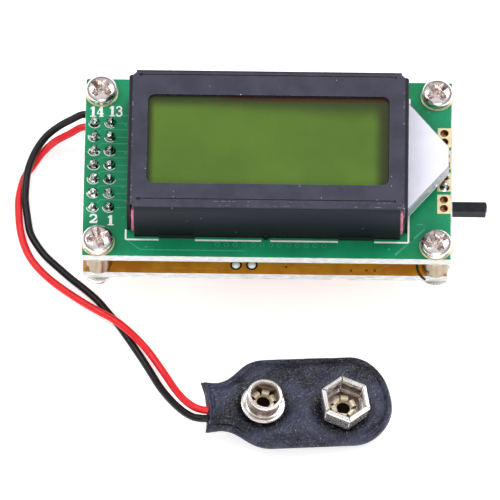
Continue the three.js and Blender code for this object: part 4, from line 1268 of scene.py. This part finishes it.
def switch_lever():
    """Slider with a bar that comes out at the right; the bar's sheared end is uneven and nicked."""
    low, high = span("switch_lever")
    y0, y1 = -2.1, -0.3
    slider = Shape().box(low, (24.6, high[1], high[2]))
    end = [(31.55, 0), (31.62, 0.3), (31.5, 0.62), (31.62, 0.7), (31.78, 1.0), (31.74, 1.4), (31.6, y1 - y0)]
    outline = [(24.3, y1), (24.3, y0), (27.5, y0 + 0.02), *((x, y0 + y) for x, y in end), (28, y1 - 0.02)]
    piece("lever_slider", slider, LEVER_PLASTIC, body="switch_lever", bevel=0.15,
          replaces=["switch_lever"])
    piece("lever_bar", Shape().prism(outline, 5.6, 7.6), LEVER_PLASTIC, body="switch_lever",
          bevel=0.12)


# ---- battery snap ----

SNAP_FLOOR = 2.45  # floor of the terminals, in the snap's own frame
COVER_TOP = 2.43
COVER_SPINE = (-13.5, 9.0, -0.35)  # ends in X and place in Y of the line that the cover closes on
SKIRT = (0.0, 0.03, 0.07, 0.12, 0.17, 0.22, 0.27, 0.33, 0.4, 0.48, 0.57, 0.67, 0.78, 0.89, 1.0)


def cover_outline():
    """Plan of the cover, from the mouth of the sleeve round the far end and back, evenly spaced."""
    corners = [(-15.4, -5.1), (-12.9, -4.8)]
    corners += bezier(corners[-1], (-9.8, -4.9), (-9.2, -8.1), (-5.2, -8.2), 16)
    corners += [(8.4, -8)] + bezier((8.4, -8), (11.6, -7.7), (14.6, -4.2), (14.6, -1), 16)
    corners += bezier((14.6, -1), (14.6, 3), (13, 7.4), (8.6, 7.7), 16)
    corners += [(-5.4, 7.6)] + bezier((-5.4, 7.6), (-9, 7.5), (-10, 3.7), (-13, 3.7), 16)
    corners += [(-15.4, 3.9), (-14.95, 1.8), (-14.85, -1.0), (-15.1, -3.4), (-15.4, -5.1)]
    lengths = [math.dist(a, b) for a, b in zip(corners, corners[1:])]
    total, count, made = sum(lengths), 168, []
    walked, index = 0.0, 0
    for i in range(count):
        target = total * i / count
        while walked + lengths[index] < target:
            walked += lengths[index]
            index += 1
        t = (target - walked) / lengths[index]
        made.append(tuple(corners[index][k] * (1 - t) + corners[index + 1][k] * t for k in range(2)))
    return made


def edge_distance(x, y, outline):
    best = 1e9
    for (ax, ay), (bx, by) in zip(outline, outline[1:] + outline[:1]):
        dx, dy = bx - ax, by - ay
        t = max(0, min(1, ((x - ax) * dx + (y - ay) * dy) / (dx * dx + dy * dy)))
        best = min(best, math.hypot(x - ax - dx * t, y - ay - dy * t))
    return best


def ease(value, start, end):
    t = max(0.0, min(1.0, (value - start) / (end - start)))
    return t * t * (3 - 2 * t)


def cover_height(x, y, d):
    """Upper surface: rounded rim, welded seam, raised body, dimples at the terminals and soft creases."""
    h = 1.0 + 0.75 * math.sqrt(ease(d, 0, 0.5))
    h += 0.5 * ease(d, 1.1, 2.0) - 0.3 * math.exp(-((d - 1.0) / 0.2) ** 2)
    for spot in (STUD, SOCKET):
        h -= 0.28 * (1 - ease(math.dist((x, y), spot), 3.2, 5.0))
    h += 0.13 * noise.noise(Vector((x * 0.32, y * 0.32, 3)))
    h += 0.05 * noise.noise(Vector((x * 0.9, y * 0.9, 8)))
    h += 0.2 * math.exp(-((x - 0.2) / 1.4) ** 2 - ((y + 2.2) / 3.0) ** 2)
    h -= 0.4 * math.exp(-((x + 2.4) / 0.8) ** 2 - ((y + 0.3) / 1.1) ** 2)
    crease = abs(noise.noise(Vector((x * 0.3, y * 0.5, 21))))
    h -= 0.26 * (1 - ease(crease, 0, 0.06)) * ease(d, 1.2, 2.4)
    h += 0.35 * ease(-x, 13.2, 15.2) * ease(d, 0.0, 0.6)
    return min(h, COVER_TOP)


def snap_cover():
    """Rings that close in from the outline to the spine, above and below."""
    outline = cover_outline()
    left, right, spine_y = COVER_SPINE
    top_rings, low_rings = [], []
    for t in SKIRT:
        upper, lower = [], []
        for x, y in outline:
            spine_x = max(left, min(right, round(x * 2) / 2))
            px, py = x + (spine_x - x) * t, y + (spine_y - y) * t
            d = edge_distance(px, py, outline) if t else 0.0
            upper.append((px, py, cover_height(px, py, d)))
            lower.append((px, py, 0.9 - 0.88 * math.sqrt(ease(d, 0, 0.6))))
        top_rings.append(upper)
        low_rings.append(lower)
    shape = Shape().loft(low_rings[::-1] + top_rings, caps=False)
    piece("snap_cover_look", on_snap(shape), VINYL, replaces=["snap_cover"], angle=80)


def on_snap(shape, x=0.0, y=0.0, turn=0.0):
    """The shape moved from a terminal's own frame into the row frame."""
    return Shape().join(shape, SNAP_TURN @ Matrix.Translation((x, y, 0)) @ rotation(turn, "Z"))


def petals(count, seed, rise=0.0):
    """Crimped end of a tube eyelet: tabs rolled outward round a hole, with dark sheets in the hole and under
    the tabs as painted shade.
    """
    rng = random.Random(seed)
    made = Shape()
    z = SNAP_FLOOR + rise
    for i in range(count):
        lift, reach = rng.uniform(0.9, 1.12), rng.uniform(1.84, 2.02)
        section = [(1.14, z - 0.4), (1.15, z + 0.3), (1.22, z + 0.6 * lift), (1.38, z + 0.76 * lift),
                   (1.64, z + 0.74 * lift), (reach, z + 0.56 * lift)]
        tab = Shape().fold(section, 0.15, lambda r: min(0.5 * r, 0.6), 4)
        made.join(tab, rotation(TAU * i / count + rng.uniform(-0.08, 0.08), "Z"))
    # painted shade: the ring under the tabs and the disc in the hole take the dark hole material
    for mark, section in ((0, [(1.08, -1.4), (1.2, -1.4), (1.2, 0.2), (1.08, 0.2)]),
                          (1, [(1.15, 0.1), (2.02, 0.1), (2.02, 0.2), (1.15, 0.2)])):
        made.lathe(section, (0, 0, z), 28, mark, closed=True)
    return made.lathe([(0.1, -0.6), (1.1, -0.6), (1.1, -0.1), (0.1, -0.15)], (0, 0, z), 28, 1)


def stud():
    """Turned stud: a flange with a rolled lip, a waisted neck and an open rolled rim; the bore and the neck
    take a darker plating as painted shade and dark reflection.
    """
    outside = [(1.3, 0), (3.2, 0), (3.42, 0.08), (3.5, 0.26), (3.44, 0.44), (3.26, 0.52), (3.0, 0.5),
               (2.7, 0.46), (2.5, 0.56), (2.42, 0.95), (2.4, 1.8), (2.48, 2.4), (2.66, 2.75), (2.78, 3.02),
               (2.77, 3.26), (2.64, 3.43), (2.44, 3.48), (2.26, 3.38), (2.17, 3.1), (2.12, 2.6), (2.08, 0.75),
               (1.9, 0.5), (1.3, 0.45)]
    bore = [(1.95, 0.5), (2.06, 0.7), (2.11, 2.9), (2.05, 2.88), (1.98, 0.8)]
    neck = [(2.3, 0.5), (2.57, 0.46), (2.45, 0.95), (2.43, 1.8), (2.5, 2.35), (2.3, 2.35)]
    shape = Shape()
    for mark, section in ((0, outside), (1, bore), (1, neck)):
        shape.lathe(section, (0, 0, SNAP_FLOOR), 64, mark, closed=True)
    return shape


def socket():
    """Hexagonal socket: six walls with rolled rims, slits between them, on a round-holed floor."""
    z = SNAP_FLOOR
    wall = [(2.6, 0.15), (3.12, 0.17), (3.27, 0.4), (3.31, 2.55), (3.46, 2.9), (3.48, 3.16), (3.36, 3.34),
            (3.15, 3.37), (2.97, 3.24), (2.92, 2.95), (2.95, 2.5)]
    side = Shape().fold([(x, z + h) for x, h in wall], 0.3, lambda r: r * math.tan(math.pi / 6) - 0.09, 6)
    # painted shade: a dark lining inside each wall, and the floor, take the darker plating
    side.box((3.08, -1.62, z + 0.4), (3.16, 1.62, z + 2.5), mark=1)
    made = Shape()
    for k in range(6):
        made.join(side, rotation(math.radians(64 + 60 * k), "Z"))
    return made.plate([circle(3.5, 6, turn=math.radians(34)), circle(1.2, 24)], z, z + 0.3, mark=1)


def terminals():
    plated, brass = ([PLATE, SHADED_PLATING], "nickel"), ([CREAM_METAL, HOLE_SHADE], "brass_eyelet")
    for name, shape, spot, turn, (materials, slot), node in (
            ("stud_look", stud(), STUD, 0, plated, "snap_stud"),
            ("socket_look", socket(), SOCKET, 0, plated, "snap_socket"),
            ("stud_petals", petals(6, 3, 0.55), STUD, 0.3, brass, "stud_eyelet"),
            ("socket_petals", petals(6, 5), SOCKET, 0.3, brass, "socket_eyelet")):
        piece(name, on_snap(shape, *spot, turn), materials, replaces=[node], bevel=0.03)


# ---- everything, in order ----

def carry_over():
    """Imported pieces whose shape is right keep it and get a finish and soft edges."""
    finishes = {"test_socket": (BLACK_PLASTIC, 0.05), "trimmer_body": (BLUE_PLASTIC, 0.1),
                "trimmer_rotor": (WHITE_PLASTIC, 0.05), "switch_shell": (TIN, 0.06),
                "switch_base": (BLACK_PLASTIC, 0.05)}
    for node, (material, width) in finishes.items():
        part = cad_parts[node]
        part.data.materials.clear()
        part.data.materials.append(material)
        soften(part, width)


circuit_board("display_board", [(SCREW_HOLE, SCREWS), (PIN_HOLE, PINS), (PAD_HOLE, PAD_HOLES)], GREEN)
circuit_board("measuring_board", [(SCREW_HOLE, SCREWS), (PIN_HOLE, PINS)], AMBER)
red, red_exit, red_length = make_lead("red_lead", "lead_red", RED_ROUTE, RED_VINYL)
black, black_exit, black_length = make_lead("black_lead", "lead_black", BLACK_ROUTE, BLACK_SLEEVE)
print_marks()
copper_lines()
gold_pads()
hole_rims()
header_joints()
header_strip()
bezel_details(bezel())
display_cell()
light_guide()
backlight_led()
screws()
spacers()
lower_board_details()
board_joints()
board_tracks()
chip()
chip_socket()
resistors()
capacitors()
discs()
crystal()
regulator()
driver_blob()
switch_lever()
snap_cover()
terminals()
carry_over()
